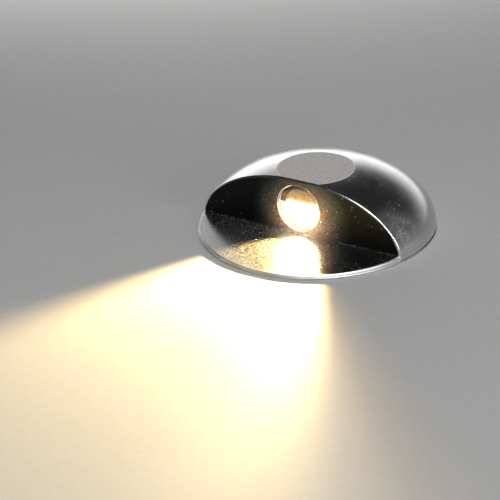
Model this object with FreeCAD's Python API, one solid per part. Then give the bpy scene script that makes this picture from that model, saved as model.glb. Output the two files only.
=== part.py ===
"""A one-way in-ground path light: polished dome, sealed barrel below it, and the sleeve it drops into.

Millimetres, Z up. The origin is on the dome's axis at the paving surface, and the beam leaves towards -Y.
"""
import FreeCAD
import Part
import math
import os

Vector = FreeCAD.Vector
UP = Vector(0, 0, 1)
DOWN = Vector(0, 0, -1)
INWARD = Vector(0, 1, 0)
OUTWARD = Vector(0, -1, 0)
tiny = 1e-3

# Dome
dome_radius = 30.0
dome_lip = 0.4
dome_ledge = 0.2
base_chamfer = 0.2
flat_radius = 9.85
flat_bite = 1.35
crown_cover = 1.31
edge_break = 0.4
edge_break_limit = 0.75
rim_width = 1.8
underside_relief = 0.2
roof_thickness = 4.1

# Outlet
floor_height = 1.56
floor_fall = 1.6

# Window, along the beam
lens_radius = 6.25
lens_lift = 0.53
lens_thickness = 2.9
lens_proud = 0.4
lens_round = 0.35
lens_seal_thickness = 1.0
lens_seal_lap = 0.45
shoulder_width = 1.15
shoulder_wall = 1.5
shield_thickness = 0.5
shield_edge_rise = 0.5
cup_length = 5.05
cup_land = 0.9
cup_wall = 0.5

# Emitter and its heat sink
led_side = 3.45
led_height = 0.7
led_dome_radius = 1.4
led_board_height = 9.5
led_board_thickness = 1.6
led_board_corner = 0.8
solder_pad_side_inset = 2.4
solder_pad_rise = 1.15
pad_thickness = 0.5
web_thickness = 2.1
sink_width = 20.0
sink_depth = 8.8
sink_ground_clearance = 3.8
sink_slot_width = 1.4
sink_slot_depth = 2.0
sink_slot_count = 2

# Barrel and its flange
flange_thickness = 4.5
flange_edge = 0.8
flange_seal_width = 2.2
flange_seal_depth = 1.5
flange_seal_inset = 1.4
barrel_wall = 3.6
barrel_root_round = 1.0
oring_groove_depth = 1.3
oring_first_drop = 6.0
oring_foot_rise = 7.7

# End cap
cap_step = 0.6
cap_thickness = 7.2
cap_seal_section = 1.8
cap_post_height = 8.0
cap_post_width = 4.8
cap_post_lap = 2.0
circlip_thickness = 1.0
circlip_width = 2.0
circlip_groove_depth = 0.7
circlip_lip = 1.5
circlip_opening = 36.0
circlip_ear_radius = 1.3
circlip_ear_hole_radius = 0.6

# Driver
driver_length = 30.0
driver_top_gap = 1.9
driver_thickness = 1.6
driver_side_gap = 1.7
driver_corner = 1.5
inductor_radius = 4.0
inductor_height = 5.5
inductor_rim = 1.0
inductor_winding_inset = 0.8
capacitor_radius = 3.15
capacitor_height = 7.5
capacitor_round = 0.6
chip_width = 5.0
chip_length = 4.0
chip_height = 1.5
chip_leg_width = 0.45
chip_leg_reach = 0.8
chip_leg_pitch = 1.27
chip_leg_count = 4
terminal_depth = 7.0
terminal_height = 7.5
terminal_inset = 0.8
terminal_pitch = 5.0
terminal_screw_radius = 1.6
terminal_screw_depth = 2.0
terminal_hole_depth = 3.0

# Leads from the driver to the emitter's board
lead_radius = 0.6
lead_bend_radius = 4.0
lead_rise = 1.2
lead_insertion = 2.0

# Cable gland
gland_neck_wall = 2.8
gland_hex_height = 4.0
gland_bore_radius = 3.2
gland_spigot_length = 7.0
gland_grommet_wall = 1.8
gland_cable_radius = 2.75
gland_locknut_height = 3.5
gland_thread_tail = 0.5
gland_washer_thickness = 0.8
gland_washer_width = 2.0
gland_spigot_wall = 1.25
gland_nut_wall = 1.6
gland_nut_end = 1.4
gland_nut_round = 1.0
gland_nut_gap = 0.5

# Gasket and sleeve
gasket_thickness = 1.2
collar_wall = 2.4
collar_floor = 2.0
sleeve_wall = 2.8
sleeve_tail = 16.0
sleeve_lead_in = 0.8
sleeve_slot_width = 9.0
sleeve_slot_height = 12.0
grip_groove_depth = 0.5
grip_groove_width = 2.0
grip_groove_pitch = 5.0
grip_groove_count = 4
grip_groove_lift = 18.0

# Screws
flange_screw_radius = 1.5
flange_screw_head_radius = 2.8
flange_screw_head_height = 1.7
flange_screw_engagement = 5.5
flange_screw_angles = (10.0, 90.0, 170.0)
sink_screw_radius = 1.25
sink_screw_head_radius = 2.25
sink_screw_head_height = 1.6
sink_screw_engagement = 3.0
sink_screw_x = 5.0
board_screw_radius = 0.8
board_screw_head_radius = 1.5
board_screw_head_height = 1.0
board_screw_engagement = 1.6
board_screw_inset = 1.8
board_screw_drop = 2.15
socket_share_of_head = 0.5
slot_width = 0.6

# Clearances
groove_gap = 0.5
fit_gap = 0.05
hole_gap = 0.15
tap_depth_gap = 0.5
rim_gap = 0.3
flange_gap = 0.5
flange_float = 0.3
gasket_gap = 0.2
head_gap = 0.6
sleeve_gap = 1.2
chamber_side_gap = 1.0
chamber_roof_gap = 0.4
sink_gap = 0.3
sink_head_gap = 0.45
locknut_gap = 0.8
board_screw_side_gap = 0.61
terminal_hole_gap = 0.3
component_gap = 1.85

# Window heights and the dome's profile
lens_z = floor_height + lens_lift + lens_radius
dome_height = lens_z + lens_radius + crown_cover
skin_radius = dome_radius - dome_ledge
dome_rise = (dome_height - dome_lip) / math.sqrt(1 - (flat_radius / skin_radius) ** 2)

# Window stack, from the outlet wall inwards
wall_y = flat_bite - flat_radius
floor_front = floor_height - (skin_radius + wall_y) * math.tan(math.radians(floor_fall))
lens_front_y = wall_y - lens_proud
lens_back_y = lens_front_y + lens_thickness
shoulder_y = lens_back_y + lens_seal_thickness
chamber_y = shoulder_y + shoulder_wall
cup_front_y = shoulder_y + shield_thickness
board_front_y = cup_front_y + cup_length
board_back_y = board_front_y + led_board_thickness
sink_front_y = board_back_y + pad_thickness
web_back_y = sink_front_y + web_thickness
sink_back_y = sink_front_y + sink_depth
sink_screw_y = web_back_y + sink_screw_head_radius + sink_head_gap
aperture_radius = lens_radius - shoulder_width
cup_land_radius = aperture_radius - fit_gap
cup_back_radius = led_side / math.sqrt(2) + hole_gap
board_screw_x = cup_back_radius + cup_wall + board_screw_side_gap + board_screw_head_radius
led_board_width = 2 * (board_screw_x + board_screw_inset)
solder_pad_x = led_board_width / 2 - solder_pad_side_inset

# Radii, from the dome's rim inwards
rim_inner_radius = dome_radius - rim_width
collar_radius = rim_inner_radius - rim_gap
counterbore_radius = collar_radius - collar_wall
flange_radius = counterbore_radius - flange_gap
flange_screw_circle = flange_radius - flange_edge - flange_screw_head_radius
barrel_radius = flange_screw_circle - flange_screw_head_radius - head_gap
bore_radius = barrel_radius - barrel_wall
cap_bore_radius = bore_radius + cap_step
cap_radius = cap_bore_radius - fit_gap
circlip_groove_radius = cap_bore_radius + circlip_groove_depth
flange_seal_radius = bore_radius + flange_seal_inset + flange_seal_width / 2
sleeve_bore_radius = barrel_radius + sleeve_gap
oring_section = sleeve_gap + oring_groove_depth - 2 * fit_gap
sleeve_radius = sleeve_bore_radius + sleeve_wall

# Gland radii, from the cable outwards
gland_grommet_radius = gland_cable_radius + gland_grommet_wall
gland_seat_radius = gland_grommet_radius + fit_gap
gland_spigot_radius = gland_seat_radius + gland_spigot_wall
gland_nut_bore_radius = gland_spigot_radius + fit_gap
gland_flats = 2 * (gland_nut_bore_radius + gland_nut_wall)
gland_thread_radius = gland_bore_radius + gland_neck_wall
gland_locknut_flats = 2 * (gland_thread_radius + gland_nut_wall)

# Levels, from the dome's underside down
flange_top = underside_relief
flange_bottom = flange_top - flange_thickness
collar_top = flange_top - gasket_thickness
counterbore_floor = flange_bottom - flange_float
collar_bottom = counterbore_floor - collar_floor
driver_top = flange_bottom - driver_top_gap
driver_bottom = driver_top - driver_length
locknut_top = driver_bottom - locknut_gap
cap_top = locknut_top - gland_locknut_height
cap_bottom = cap_top - cap_thickness
circlip_bottom = cap_bottom - circlip_thickness - 2 * fit_gap
barrel_bottom = circlip_bottom - circlip_lip
gland_hex_top = cap_bottom - gland_washer_thickness
gland_hex_bottom = gland_hex_top - gland_hex_height
gland_spigot_bottom = gland_hex_bottom - gland_spigot_length
gland_nut_bottom = gland_spigot_bottom - gland_nut_end
sleeve_bottom = gland_nut_bottom - sleeve_tail
led_terminal_top = driver_top - terminal_inset
supply_terminal_top = driver_bottom + terminal_inset + terminal_height
driver_front_y = -driver_thickness / 2
driver_back_y = driver_thickness / 2
driver_half_width = math.sqrt(bore_radius ** 2 - driver_back_y ** 2) - driver_side_gap
driver_middle_z = (driver_bottom + driver_top) / 2
component_spacing = inductor_radius + capacitor_radius + component_gap
terminal_width = 2 * terminal_pitch
terminal_hole_radius = lead_radius + terminal_hole_gap


def dome_z(radius):
    """Height of the dome's curved surface at a distance from the axis."""
    return dome_lip + dome_rise * math.sqrt(1 - (radius / skin_radius) ** 2)


pocket_roof = dome_z(bore_radius) - roof_thickness
led_board_top = lens_z + led_board_height / 2
led_board_bottom = lens_z - led_board_height / 2
chamber_roof = led_board_top + chamber_roof_gap
chamber_half_width = led_board_width / 2 + chamber_side_gap
sink_bottom = flange_top + sink_ground_clearance
board_screw_z = led_board_top - board_screw_drop


def block(low, high):
    """Box between two corners."""
    size = [b - a for a, b in zip(low, high)]
    return Part.makeBox(size[0], size[1], size[2], Vector(*low))


def disc(radius, bottom, top, x=0.0, y=0.0):
    """Upright cylinder between two levels."""
    return Part.makeCylinder(radius, top - bottom, Vector(x, y, bottom), UP)


def ring(outer, inner, bottom, top):
    """Upright tube between two levels."""
    return disc(outer, bottom, top).cut(disc(inner, bottom, top))


def rod(radius, front_y, back_y, x=0.0, z=lens_z):
    """Cylinder along the beam, between two depths."""
    return Part.makeCylinder(radius, back_y - front_y, Vector(x, front_y, z), INWARD)


def lathe(points):
    """Turned solid about the Z axis from (radius, level) corners."""
    corners = [Vector(r, 0, z) for r, z in points]
    outline = Part.makePolygon(corners + corners[:1])
    return Part.Face(outline).revolve(Vector(0, 0, 0), UP, 360)


def torus(section, centre_radius, level):
    """O-ring lying level, from its section's diameter."""
    return Part.makeTorus(centre_radius, section / 2, Vector(0, 0, level), UP)


def hexagon(flats, bottom, top):
    """Upright hexagonal prism, from its width across the flats."""
    corner = flats / math.sqrt(3)
    points = []
    for k in range(6):
        angle = math.radians(60 * k)
        points.append(Vector(corner * math.cos(angle), corner * math.sin(angle), bottom))
    outline = Part.makePolygon(points + points[:1])
    return Part.Face(outline).extrude(Vector(0, 0, top - bottom))


def rounded_plate(low, high, radius, axis):
    """Box with its four edges along one axis rounded."""
    plate = block(low, high)
    edges = [e for e in plate.Edges if abs(e.tangentAt(e.FirstParameter).dot(axis)) > 0.99]
    return plate.makeFillet(radius, edges)


def on_circle(radius, degrees):
    """X and Y of a point on a circle about the axis."""
    angle = math.radians(degrees)
    return radius * math.cos(angle), radius * math.sin(angle)


def place_along(shape, direction, point):
    """Shape drawn along Z, turned to a direction and moved to a point."""
    placed = shape.copy()
    placed.Placement = FreeCAD.Placement(point, FreeCAD.Rotation(UP, direction))
    return placed


def pan_screw(radius, length, head_radius, head_height):
    """Pan head screw with a hexagon socket: head above level 0, shank below it."""
    head = disc(head_radius, 0, head_height)
    rim = [e for e in head.Edges if abs(e.BoundBox.ZMin - head_height) < tiny and e.Closed]
    head = head.makeFillet(head_height * socket_share_of_head, rim)
    socket_depth = head_height * socket_share_of_head
    socket = hexagon(head_radius, head_height - socket_depth, head_height)
    return head.fuse(disc(radius, -length, 0)).cut(socket).removeSplitter()


def countersunk_screw(radius, length, head_radius, head_height):
    """Countersunk screw with a hexagon socket: flush at level 0, shank below it."""
    head = Part.makeCone(radius, head_radius, head_height, Vector(0, 0, -head_height), UP)
    socket_depth = head_height * socket_share_of_head
    socket = hexagon(2 * radius * socket_share_of_head + radius, -socket_depth, 0)
    return head.fuse(disc(radius, -length, 0)).cut(socket).removeSplitter()


def dome_blank():
    """Turned dome with its satin flat and a narrow ledge at its foot, before anything is cut out of it."""
    curve = Part.Ellipse(Vector(0, 0, 0), skin_radius, dome_rise)
    sweep = math.acos(flat_radius / skin_radius)
    arc = Part.Edge(curve, 0, sweep)
    arc.Placement = FreeCAD.Placement(Vector(0, 0, dome_lip), FreeCAD.Rotation(Vector(1, 0, 0), 90))
    corners = [
        Vector(flat_radius, 0, dome_height),
        Vector(0, 0, dome_height),
        Vector(0, 0, 0),
        Vector(dome_radius - base_chamfer, 0, 0),
        Vector(dome_radius, 0, base_chamfer),
        Vector(dome_radius, 0, dome_lip),
        Vector(skin_radius, 0, dome_lip),
    ]
    lines = Part.makePolygon(corners)
    outline = Part.Wire(Part.sortEdges([arc] + lines.Edges)[0])
    return Part.Face(outline).revolve(Vector(0, 0, 0), UP, 360)


def outlet_cut():
    """Prism that the outlet removes: an upright wall, and a floor that falls away from it."""
    reach = 2 * dome_radius
    drop = (reach + wall_y) * math.tan(math.radians(floor_fall))
    corners = [
        Vector(-reach, wall_y, floor_height),
        Vector(-reach, wall_y, reach),
        Vector(-reach, -reach, reach),
        Vector(-reach, -reach, floor_height - drop),
    ]
    outline = Part.makePolygon(corners + corners[:1])
    return Part.Face(outline).extrude(Vector(2 * reach, 0, 0))


def outlet_edges(dome):
    """Edges where the outlet breaks through the dome: its wall's and floor's, less their shared line."""
    found = []
    for edge in dome.Edges:
        box = edge.BoundBox
        in_outlet = box.YMax < wall_y + tiny and box.ZMin > dome_lip + tiny
        shared_line = abs(box.ZMax - floor_height) < tiny and box.ZLength < tiny
        if in_outlet and not shared_line:
            found.append(edge)
    return found


def pocket():
    """Room inside the dome: a round well over the barrel's bore, and a chamber for the emitter."""
    low = underside_relief - dome_lip
    well = disc(bore_radius, low, pocket_roof)
    well = well.cut(block((-dome_radius, -dome_radius, low), (dome_radius, chamber_y, pocket_roof)))
    chamber_back = web_back_y + sink_gap
    chamber = block((-chamber_half_width, chamber_y, low), (chamber_half_width, chamber_back, chamber_roof))
    return well.fuse(chamber)


def flange_screw_points():
    """X and Y of each flange screw."""
    return [on_circle(flange_screw_circle, angle) for angle in flange_screw_angles]


def dome_cover():
    """Polished dome, with its outlet, window seat, inner room and tapped holes."""
    dome = dome_blank().cut(outlet_cut())
    rim_height = floor_front - dome_lip
    dome = dome.makeFillet(min(edge_break, rim_height * edge_break_limit), outlet_edges(dome))
    dome = dome.cut(disc(rim_inner_radius, -dome_lip, underside_relief))
    dome = dome.cut(rod(lens_radius + fit_gap, lens_front_y, shoulder_y))
    dome = dome.cut(rod(aperture_radius, shoulder_y, chamber_y))
    dome = dome.cut(pocket())
    for x, y in flange_screw_points():
        top = underside_relief + flange_screw_engagement + tap_depth_gap
        dome = dome.cut(disc(flange_screw_radius + fit_gap, underside_relief, top, x, y))
    for side in (-1, 1):
        top = pocket_roof + sink_screw_engagement + tap_depth_gap
        x = side * sink_screw_x
        dome = dome.cut(disc(sink_screw_radius + fit_gap, pocket_roof, top, x, sink_screw_y))
    return dome


def window_lens():
    """Clear window, its front edge rounded and just proud of the outlet wall."""
    lens = rod(lens_radius, lens_front_y, lens_back_y)
    front = [e for e in lens.Edges if e.Closed and abs(e.BoundBox.YMax - lens_front_y) < tiny]
    return lens.makeFillet(lens_round, front)


def lens_seal():
    """Flat ring that the window is bedded on, lapping over the shield's edge."""
    outer = rod(lens_radius, lens_back_y, shoulder_y)
    return outer.cut(rod(aperture_radius - lens_seal_lap, lens_back_y, shoulder_y))


def cutoff_shield():
    """Thin plate over the upper part of the aperture, with a straight lower edge."""
    plate = rod(cup_land_radius, shoulder_y, cup_front_y)
    reach = 2 * lens_radius
    below = block((-reach, shoulder_y, lens_z - reach), (reach, cup_front_y, lens_z + shield_edge_rise))
    return plate.cut(below)


def reflector_cup():
    """Thin cup about the beam: a land that seats in the aperture, then a taper to the emitter."""
    inner_front = cup_land_radius - cup_wall
    # A paraboloid: the square of the radius grows evenly along the beam.
    middle_radius = math.sqrt((inner_front ** 2 + cup_back_radius ** 2) / 2)
    middle_y = (cup_front_y + board_front_y) / 2
    bowl = Part.Arc(
        Vector(inner_front, cup_front_y, 0),
        Vector(middle_radius, middle_y, 0),
        Vector(cup_back_radius, board_front_y, 0),
    ).toShape()
    corners = [
        Vector(cup_back_radius, board_front_y, 0),
        Vector(cup_back_radius + cup_wall, board_front_y, 0),
        Vector(cup_land_radius, cup_front_y + cup_land, 0),
        Vector(cup_land_radius, cup_front_y, 0),
        Vector(inner_front, cup_front_y, 0),
    ]
    outline = Part.Wire(Part.sortEdges([bowl] + Part.makePolygon(corners).Edges)[0])
    cup = Part.Face(outline).revolve(Vector(0, 0, 0), INWARD, 360)
    cup.translate(Vector(0, 0, lens_z))
    return cup


def led_package():
    """Square emitter package on the board."""
    half = led_side / 2
    return block((-half, board_front_y - led_height, lens_z - half), (half, board_front_y, lens_z + half))


def led_dome():
    """Clear half ball on the emitter's face."""
    centre = Vector(0, board_front_y - led_height, lens_z)
    return Part.makeSphere(led_dome_radius, centre, OUTWARD, 0, 90, 360)


def board_screw_points():
    """X of each screw through the emitter's board."""
    return (-board_screw_x, board_screw_x)


def drilled_board(front_y, back_y):
    """Plate of the emitter board's outline with its two screw holes."""
    half = led_board_width / 2
    low = (-half, front_y, led_board_bottom)
    high = (half, back_y, led_board_top)
    plate = rounded_plate(low, high, led_board_corner, INWARD)
    for x in board_screw_points():
        plate = plate.cut(rod(board_screw_radius + hole_gap, front_y, back_y, x, board_screw_z))
    return plate


def led_board():
    """Metal-core board that carries the emitter."""
    return drilled_board(board_front_y, board_back_y)


def thermal_pad():
    """Soft pad between the board and the heat sink."""
    return drilled_board(board_back_y, sink_front_y)


def board_screws():
    """Two screws that hold the board and pad to the heat sink."""
    length = led_board_thickness + pad_thickness + board_screw_engagement
    screw = pan_screw(board_screw_radius, length, board_screw_head_radius, board_screw_head_height)
    places = [Vector(x, board_front_y, board_screw_z) for x in board_screw_points()]
    return Part.makeCompound([place_along(screw, OUTWARD, p) for p in places])


def heat_sink_block():
    """Aluminium block: an upright web behind the board, and a slotted body against the dome's roof."""
    half_web = led_board_width / 2
    web = block((-half_web, sink_front_y, sink_bottom), (half_web, web_back_y, led_board_top))
    body = block((-sink_width / 2, sink_front_y, sink_bottom), (sink_width / 2, sink_back_y, pocket_roof))
    body = body.common(disc(bore_radius - sink_gap, sink_bottom, pocket_roof))
    sink = web.fuse(body).removeSplitter()
    for k in range(sink_slot_count):
        x = (k - (sink_slot_count - 1) / 2) * 2 * sink_slot_width
        low = (x - sink_slot_width / 2, sink_front_y, sink_bottom)
        high = (x + sink_slot_width / 2, sink_back_y, sink_bottom + sink_slot_depth)
        sink = sink.cut(block(low, high))
    for x in board_screw_points():
        end_y = sink_front_y + board_screw_engagement + fit_gap
        sink = sink.cut(rod(board_screw_radius + fit_gap, sink_front_y, end_y, x, board_screw_z))
    for side in (-1, 1):
        x = side * sink_screw_x
        sink = sink.cut(disc(sink_screw_radius + hole_gap, sink_bottom, pocket_roof, x, sink_screw_y))
    return sink


def heat_sink_screws():
    """Two screws up through the heat sink into the dome's roof."""
    length = pocket_roof - sink_bottom + sink_screw_engagement
    screw = pan_screw(sink_screw_radius, length, sink_screw_head_radius, sink_screw_head_height)
    places = [Vector(side * sink_screw_x, sink_screw_y, sink_bottom) for side in (-1, 1)]
    return Part.makeCompound([place_along(screw, DOWN, p) for p in places])


def oring_levels():
    """Middle level of each O-ring groove round the barrel."""
    return (collar_bottom - oring_first_drop, barrel_bottom + oring_foot_rise)


def barrel():
    """Turned housing: flange with a face seal groove, bore with a stepped mouth, two O-ring grooves."""
    seal_outer = flange_seal_radius + flange_seal_width / 2
    seal_inner = flange_seal_radius - flange_seal_width / 2
    seal_floor = flange_top - flange_seal_depth
    body = lathe([
        (bore_radius, flange_top),
        (flange_radius, flange_top),
        (flange_radius, flange_bottom),
        (barrel_radius + barrel_root_round, flange_bottom),
        (barrel_radius, flange_bottom - barrel_root_round),
        (barrel_radius, barrel_bottom),
        (cap_bore_radius, barrel_bottom),
        (cap_bore_radius, cap_top),
        (bore_radius, cap_top),
    ])
    body = body.cut(ring(seal_outer, seal_inner, seal_floor, flange_top))
    for level in oring_levels():
        half = (oring_section + groove_gap) / 2
        groove = ring(sleeve_radius, barrel_radius - oring_groove_depth, level - half, level + half)
        body = body.cut(groove)
    body = body.cut(disc(circlip_groove_radius, circlip_bottom, cap_bottom - fit_gap))
    for x, y in flange_screw_points():
        body = body.cut(disc(flange_screw_radius + hole_gap, flange_bottom, flange_top, x, y))
        sink_top = flange_bottom + flange_screw_head_height
        cone = Part.makeCone(
            flange_screw_head_radius + hole_gap,
            flange_screw_radius + hole_gap,
            sink_top - flange_bottom,
            Vector(x, y, flange_bottom),
            UP,
        )
        body = body.cut(cone)
    return body


def flange_seal():
    """O-ring in the flange's face."""
    section = flange_seal_depth - fit_gap
    return torus(section, flange_seal_radius, flange_top - flange_seal_depth + section / 2)


def flange_screws():
    """Countersunk screws up through the flange into the dome."""
    length = flange_thickness + flange_screw_engagement
    screw = countersunk_screw(
        flange_screw_radius, length, flange_screw_head_radius, flange_screw_head_height
    )
    places = [Vector(x, y, flange_bottom) for x, y in flange_screw_points()]
    return Part.makeCompound([place_along(screw, DOWN, p) for p in places])


def sleeve_orings():
    """Two O-rings that centre the barrel in the sleeve and grip it."""
    centre_radius = barrel_radius - oring_groove_depth + oring_section / 2 + fit_gap
    return Part.makeCompound([torus(oring_section, centre_radius, level) for level in oring_levels()])


def end_cap():
    """Plug in the barrel's mouth, with a seal groove and two slotted posts that hold the driver."""
    cap = disc(cap_radius, cap_bottom, cap_top)
    middle = (cap_bottom + cap_top) / 2
    half = (cap_seal_section + groove_gap) / 2
    groove_floor = cap_bore_radius - cap_seal_section - 2 * fit_gap
    cap = cap.cut(ring(sleeve_radius, groove_floor, middle - half, middle + half))
    post_top = driver_bottom + cap_post_height - locknut_gap
    posts = disc(bore_radius - sink_gap, cap_top, post_top)
    inner = driver_half_width - cap_post_lap
    post_half = cap_post_width / 2
    posts = posts.cut(block((-inner, -barrel_radius, cap_top), (inner, barrel_radius, post_top)))
    across = block((-barrel_radius, -post_half, cap_top), (barrel_radius, post_half, post_top))
    posts = posts.common(across)
    locknut_room = gland_locknut_flats / math.sqrt(3) + hole_gap
    posts = posts.cut(disc(locknut_room, cap_top, locknut_top + hole_gap))
    slot_half = driver_thickness / 2 + fit_gap
    slot_reach = driver_half_width + fit_gap
    posts = posts.cut(block((-slot_reach, -slot_half, driver_bottom), (slot_reach, slot_half, post_top)))
    cap = cap.fuse(posts)
    return cap.cut(disc(gland_thread_radius + hole_gap, cap_bottom, cap_top)).removeSplitter()


def end_cap_seal():
    """O-ring between the end cap and the barrel."""
    centre_radius = cap_bore_radius - cap_seal_section / 2 - fit_gap
    return torus(cap_seal_section, centre_radius, (cap_bottom + cap_top) / 2)


def end_cap_circlip():
    """Spring ring under the end cap: an open ring with a drilled ear at each end."""
    low = circlip_bottom + fit_gap / 2
    high = low + circlip_thickness
    outer = circlip_groove_radius - fit_gap
    inner = outer - circlip_width
    clip = ring(outer, inner, low, high)
    half_opening = math.radians(circlip_opening / 2)
    reach = 2 * outer
    corners = [
        Vector(0, 0, low),
        Vector(reach * math.sin(-half_opening), reach * math.cos(half_opening), low),
        Vector(reach * math.sin(half_opening), reach * math.cos(half_opening), low),
    ]
    gap = Part.Face(Part.makePolygon(corners + corners[:1])).extrude(Vector(0, 0, circlip_thickness))
    clip = clip.cut(gap)
    for side in (-1, 1):
        angle = 90 + side * circlip_opening / 2
        x, y = on_circle(inner, angle)
        ear = disc(circlip_ear_radius, low, high, x, y).cut(gap)
        clip = clip.fuse(ear)
        ear_x, ear_y = on_circle(inner, angle + side * math.degrees(circlip_ear_radius / inner) / 2)
        clip = clip.cut(disc(circlip_ear_hole_radius, low, high, ear_x, ear_y))
    return clip.removeSplitter()


def driver_board():
    """Upright circuit board in the barrel."""
    low = (-driver_half_width, driver_front_y, driver_bottom)
    high = (driver_half_width, driver_back_y, driver_top)
    return rounded_plate(low, high, driver_corner, INWARD)


def driver_inductor():
    """Drum-core coil on the board's back."""
    back = driver_back_y + inductor_height
    low = driver_back_y + inductor_rim
    high = back - inductor_rim
    x = -component_spacing / 2
    drum = rod(inductor_radius, driver_back_y, back, x, driver_middle_z)
    waist = rod(inductor_radius + hole_gap, low, high, x, driver_middle_z)
    core = rod(inductor_radius - inductor_winding_inset, low, high, x, driver_middle_z)
    return drum.cut(waist.cut(core)).removeSplitter()


def driver_capacitor():
    """Electrolytic can on the board's back, its end rounded."""
    back = driver_back_y + capacitor_height
    can = rod(capacitor_radius, driver_back_y, back, component_spacing / 2, driver_middle_z)
    rim = [e for e in can.Edges if e.Closed and abs(e.BoundBox.YMin - back) < tiny]
    return can.makeFillet(capacitor_round, rim)


def driver_chip():
    """Regulator on the board's front, with a row of legs on each side."""
    front = driver_front_y - chip_height
    half_width = chip_width / 2
    half_length = chip_length / 2
    low = (-half_length, front, driver_middle_z - half_width)
    high = (half_length, driver_front_y, driver_middle_z + half_width)
    chip = block(low, high)
    reach = half_length + chip_leg_reach
    for k in range(chip_leg_count):
        z = driver_middle_z + (k - (chip_leg_count - 1) / 2) * chip_leg_pitch
        leg_low = (-reach, driver_front_y - chip_leg_width, z - chip_leg_width / 2)
        leg_high = (reach, driver_front_y, z + chip_leg_width / 2)
        chip = chip.fuse(block(leg_low, leg_high))
    return chip.removeSplitter()


def terminal_xs():
    """X of each pole of a terminal block."""
    return (-terminal_pitch / 2, terminal_pitch / 2)


def terminal_screw_levels():
    """Level of the screws of the LED terminal and of the supply terminal."""
    return [top - terminal_height / 2 for top in (led_terminal_top, supply_terminal_top)]


def terminal_block(top, wire_side):
    """Two-pole screw terminal on the board's front: wire holes above (1) or below (-1), screws in front."""
    front = driver_front_y - terminal_depth
    bottom = top - terminal_height
    half = terminal_width / 2
    body = block((-half, front, bottom), (half, driver_front_y, top))
    wire_y = driver_front_y - terminal_depth / 2
    for x in terminal_xs():
        middle = top - terminal_height / 2
        screw_end = front + terminal_screw_depth
        body = body.cut(rod(terminal_screw_radius + fit_gap, front, screw_end, x, middle))
        if wire_side > 0:
            hole = disc(terminal_hole_radius, top - terminal_hole_depth, top, x, wire_y)
        else:
            hole = disc(terminal_hole_radius, bottom, bottom + terminal_hole_depth, x, wire_y)
        body = body.cut(hole)
    return body


def led_terminal():
    """Terminal that the emitter's leads go into, at the board's upper end."""
    return terminal_block(led_terminal_top, 1)


def supply_terminal():
    """Terminal for the supply cable, at the board's lower end."""
    return terminal_block(supply_terminal_top, -1)


def terminal_screws():
    """Slotted screws of both terminals."""
    front = driver_front_y - terminal_depth
    end = front + terminal_screw_depth
    screws = []
    for z in terminal_screw_levels():
        for x in terminal_xs():
            screw = rod(terminal_screw_radius, front, end, x, z)
            half = slot_width / 2
            low = (x - terminal_screw_radius, front, z - half)
            high = (x + terminal_screw_radius, front + slot_width, z + half)
            screws.append(screw.cut(block(low, high)))
    return Part.makeCompound(screws)


def lead(side):
    """Insulated lead from the LED terminal to a solder pad: two upright runs joined by an easy S bend."""
    pad_z = led_board_bottom + solder_pad_rise
    top = Vector(side * solder_pad_x, board_front_y - lead_radius, pad_z)
    wire_y = driver_front_y - terminal_depth / 2
    bottom = Vector(side * terminal_pitch / 2, wire_y, led_terminal_top - lead_insertion)
    upper_corner = Vector(top.x, top.y, led_board_bottom - lead_rise)
    lower_corner = Vector(bottom.x, bottom.y, led_terminal_top + lead_rise)
    corners = [top, upper_corner, lower_corner, bottom]
    path = rounded_path(corners, lead_bend_radius)
    start = Part.Wire(Part.makeCircle(lead_radius, top, DOWN))
    return path.makePipeShell([start], True, True)


def rounded_path(corners, radius):
    """Wire through corners, each inner corner replaced by a tangent arc."""
    edges = []
    start = corners[0]
    for before, corner, after in zip(corners, corners[1:], corners[2:]):
        inward = (corner - before).normalize()
        onward = (after - corner).normalize()
        half_turn = inward.getAngle(onward) / 2
        setback = radius * math.tan(half_turn)
        arc_start = corner - inward * setback
        arc_end = corner + onward * setback
        bisector = (onward - inward).normalize()
        middle = corner + bisector * (radius / math.cos(half_turn) - radius)
        edges.append(Part.makeLine(start, arc_start))
        edges.append(Part.Arc(arc_start, middle, arc_end).toShape())
        start = arc_end
    edges.append(Part.makeLine(start, corners[-1]))
    return Part.Wire(edges)


def lead_positive():
    """Lead on the right."""
    return lead(1)


def lead_negative():
    """Lead on the left."""
    return lead(-1)


def gland_body():
    """Gland: threaded neck through the end cap, hexagon below it, and a spigot for the rubber sleeve."""
    body = hexagon(gland_flats, gland_hex_bottom, gland_hex_top)
    neck_top = locknut_top + gland_thread_tail
    body = body.fuse(disc(gland_thread_radius, gland_hex_top, neck_top))
    body = body.fuse(disc(gland_spigot_radius, gland_spigot_bottom, gland_hex_bottom))
    body = body.cut(disc(gland_bore_radius, gland_hex_bottom, neck_top))
    return body.cut(disc(gland_seat_radius, gland_spigot_bottom, gland_hex_bottom)).removeSplitter()


def gland_washer():
    """Sealing washer between the gland and the end cap."""
    inner = gland_thread_radius + fit_gap
    return ring(inner + gland_washer_width, inner, gland_hex_top, cap_bottom)


def gland_locknut():
    """Hexagon nut on the gland's neck, inside the barrel."""
    nut = hexagon(gland_locknut_flats, cap_top, locknut_top)
    return nut.cut(disc(gland_thread_radius + fit_gap, cap_top, locknut_top))


def gland_grommet():
    """Rubber sleeve that closes on the supply cable."""
    return ring(gland_grommet_radius, gland_cable_radius, gland_spigot_bottom, gland_hex_bottom)


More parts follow.
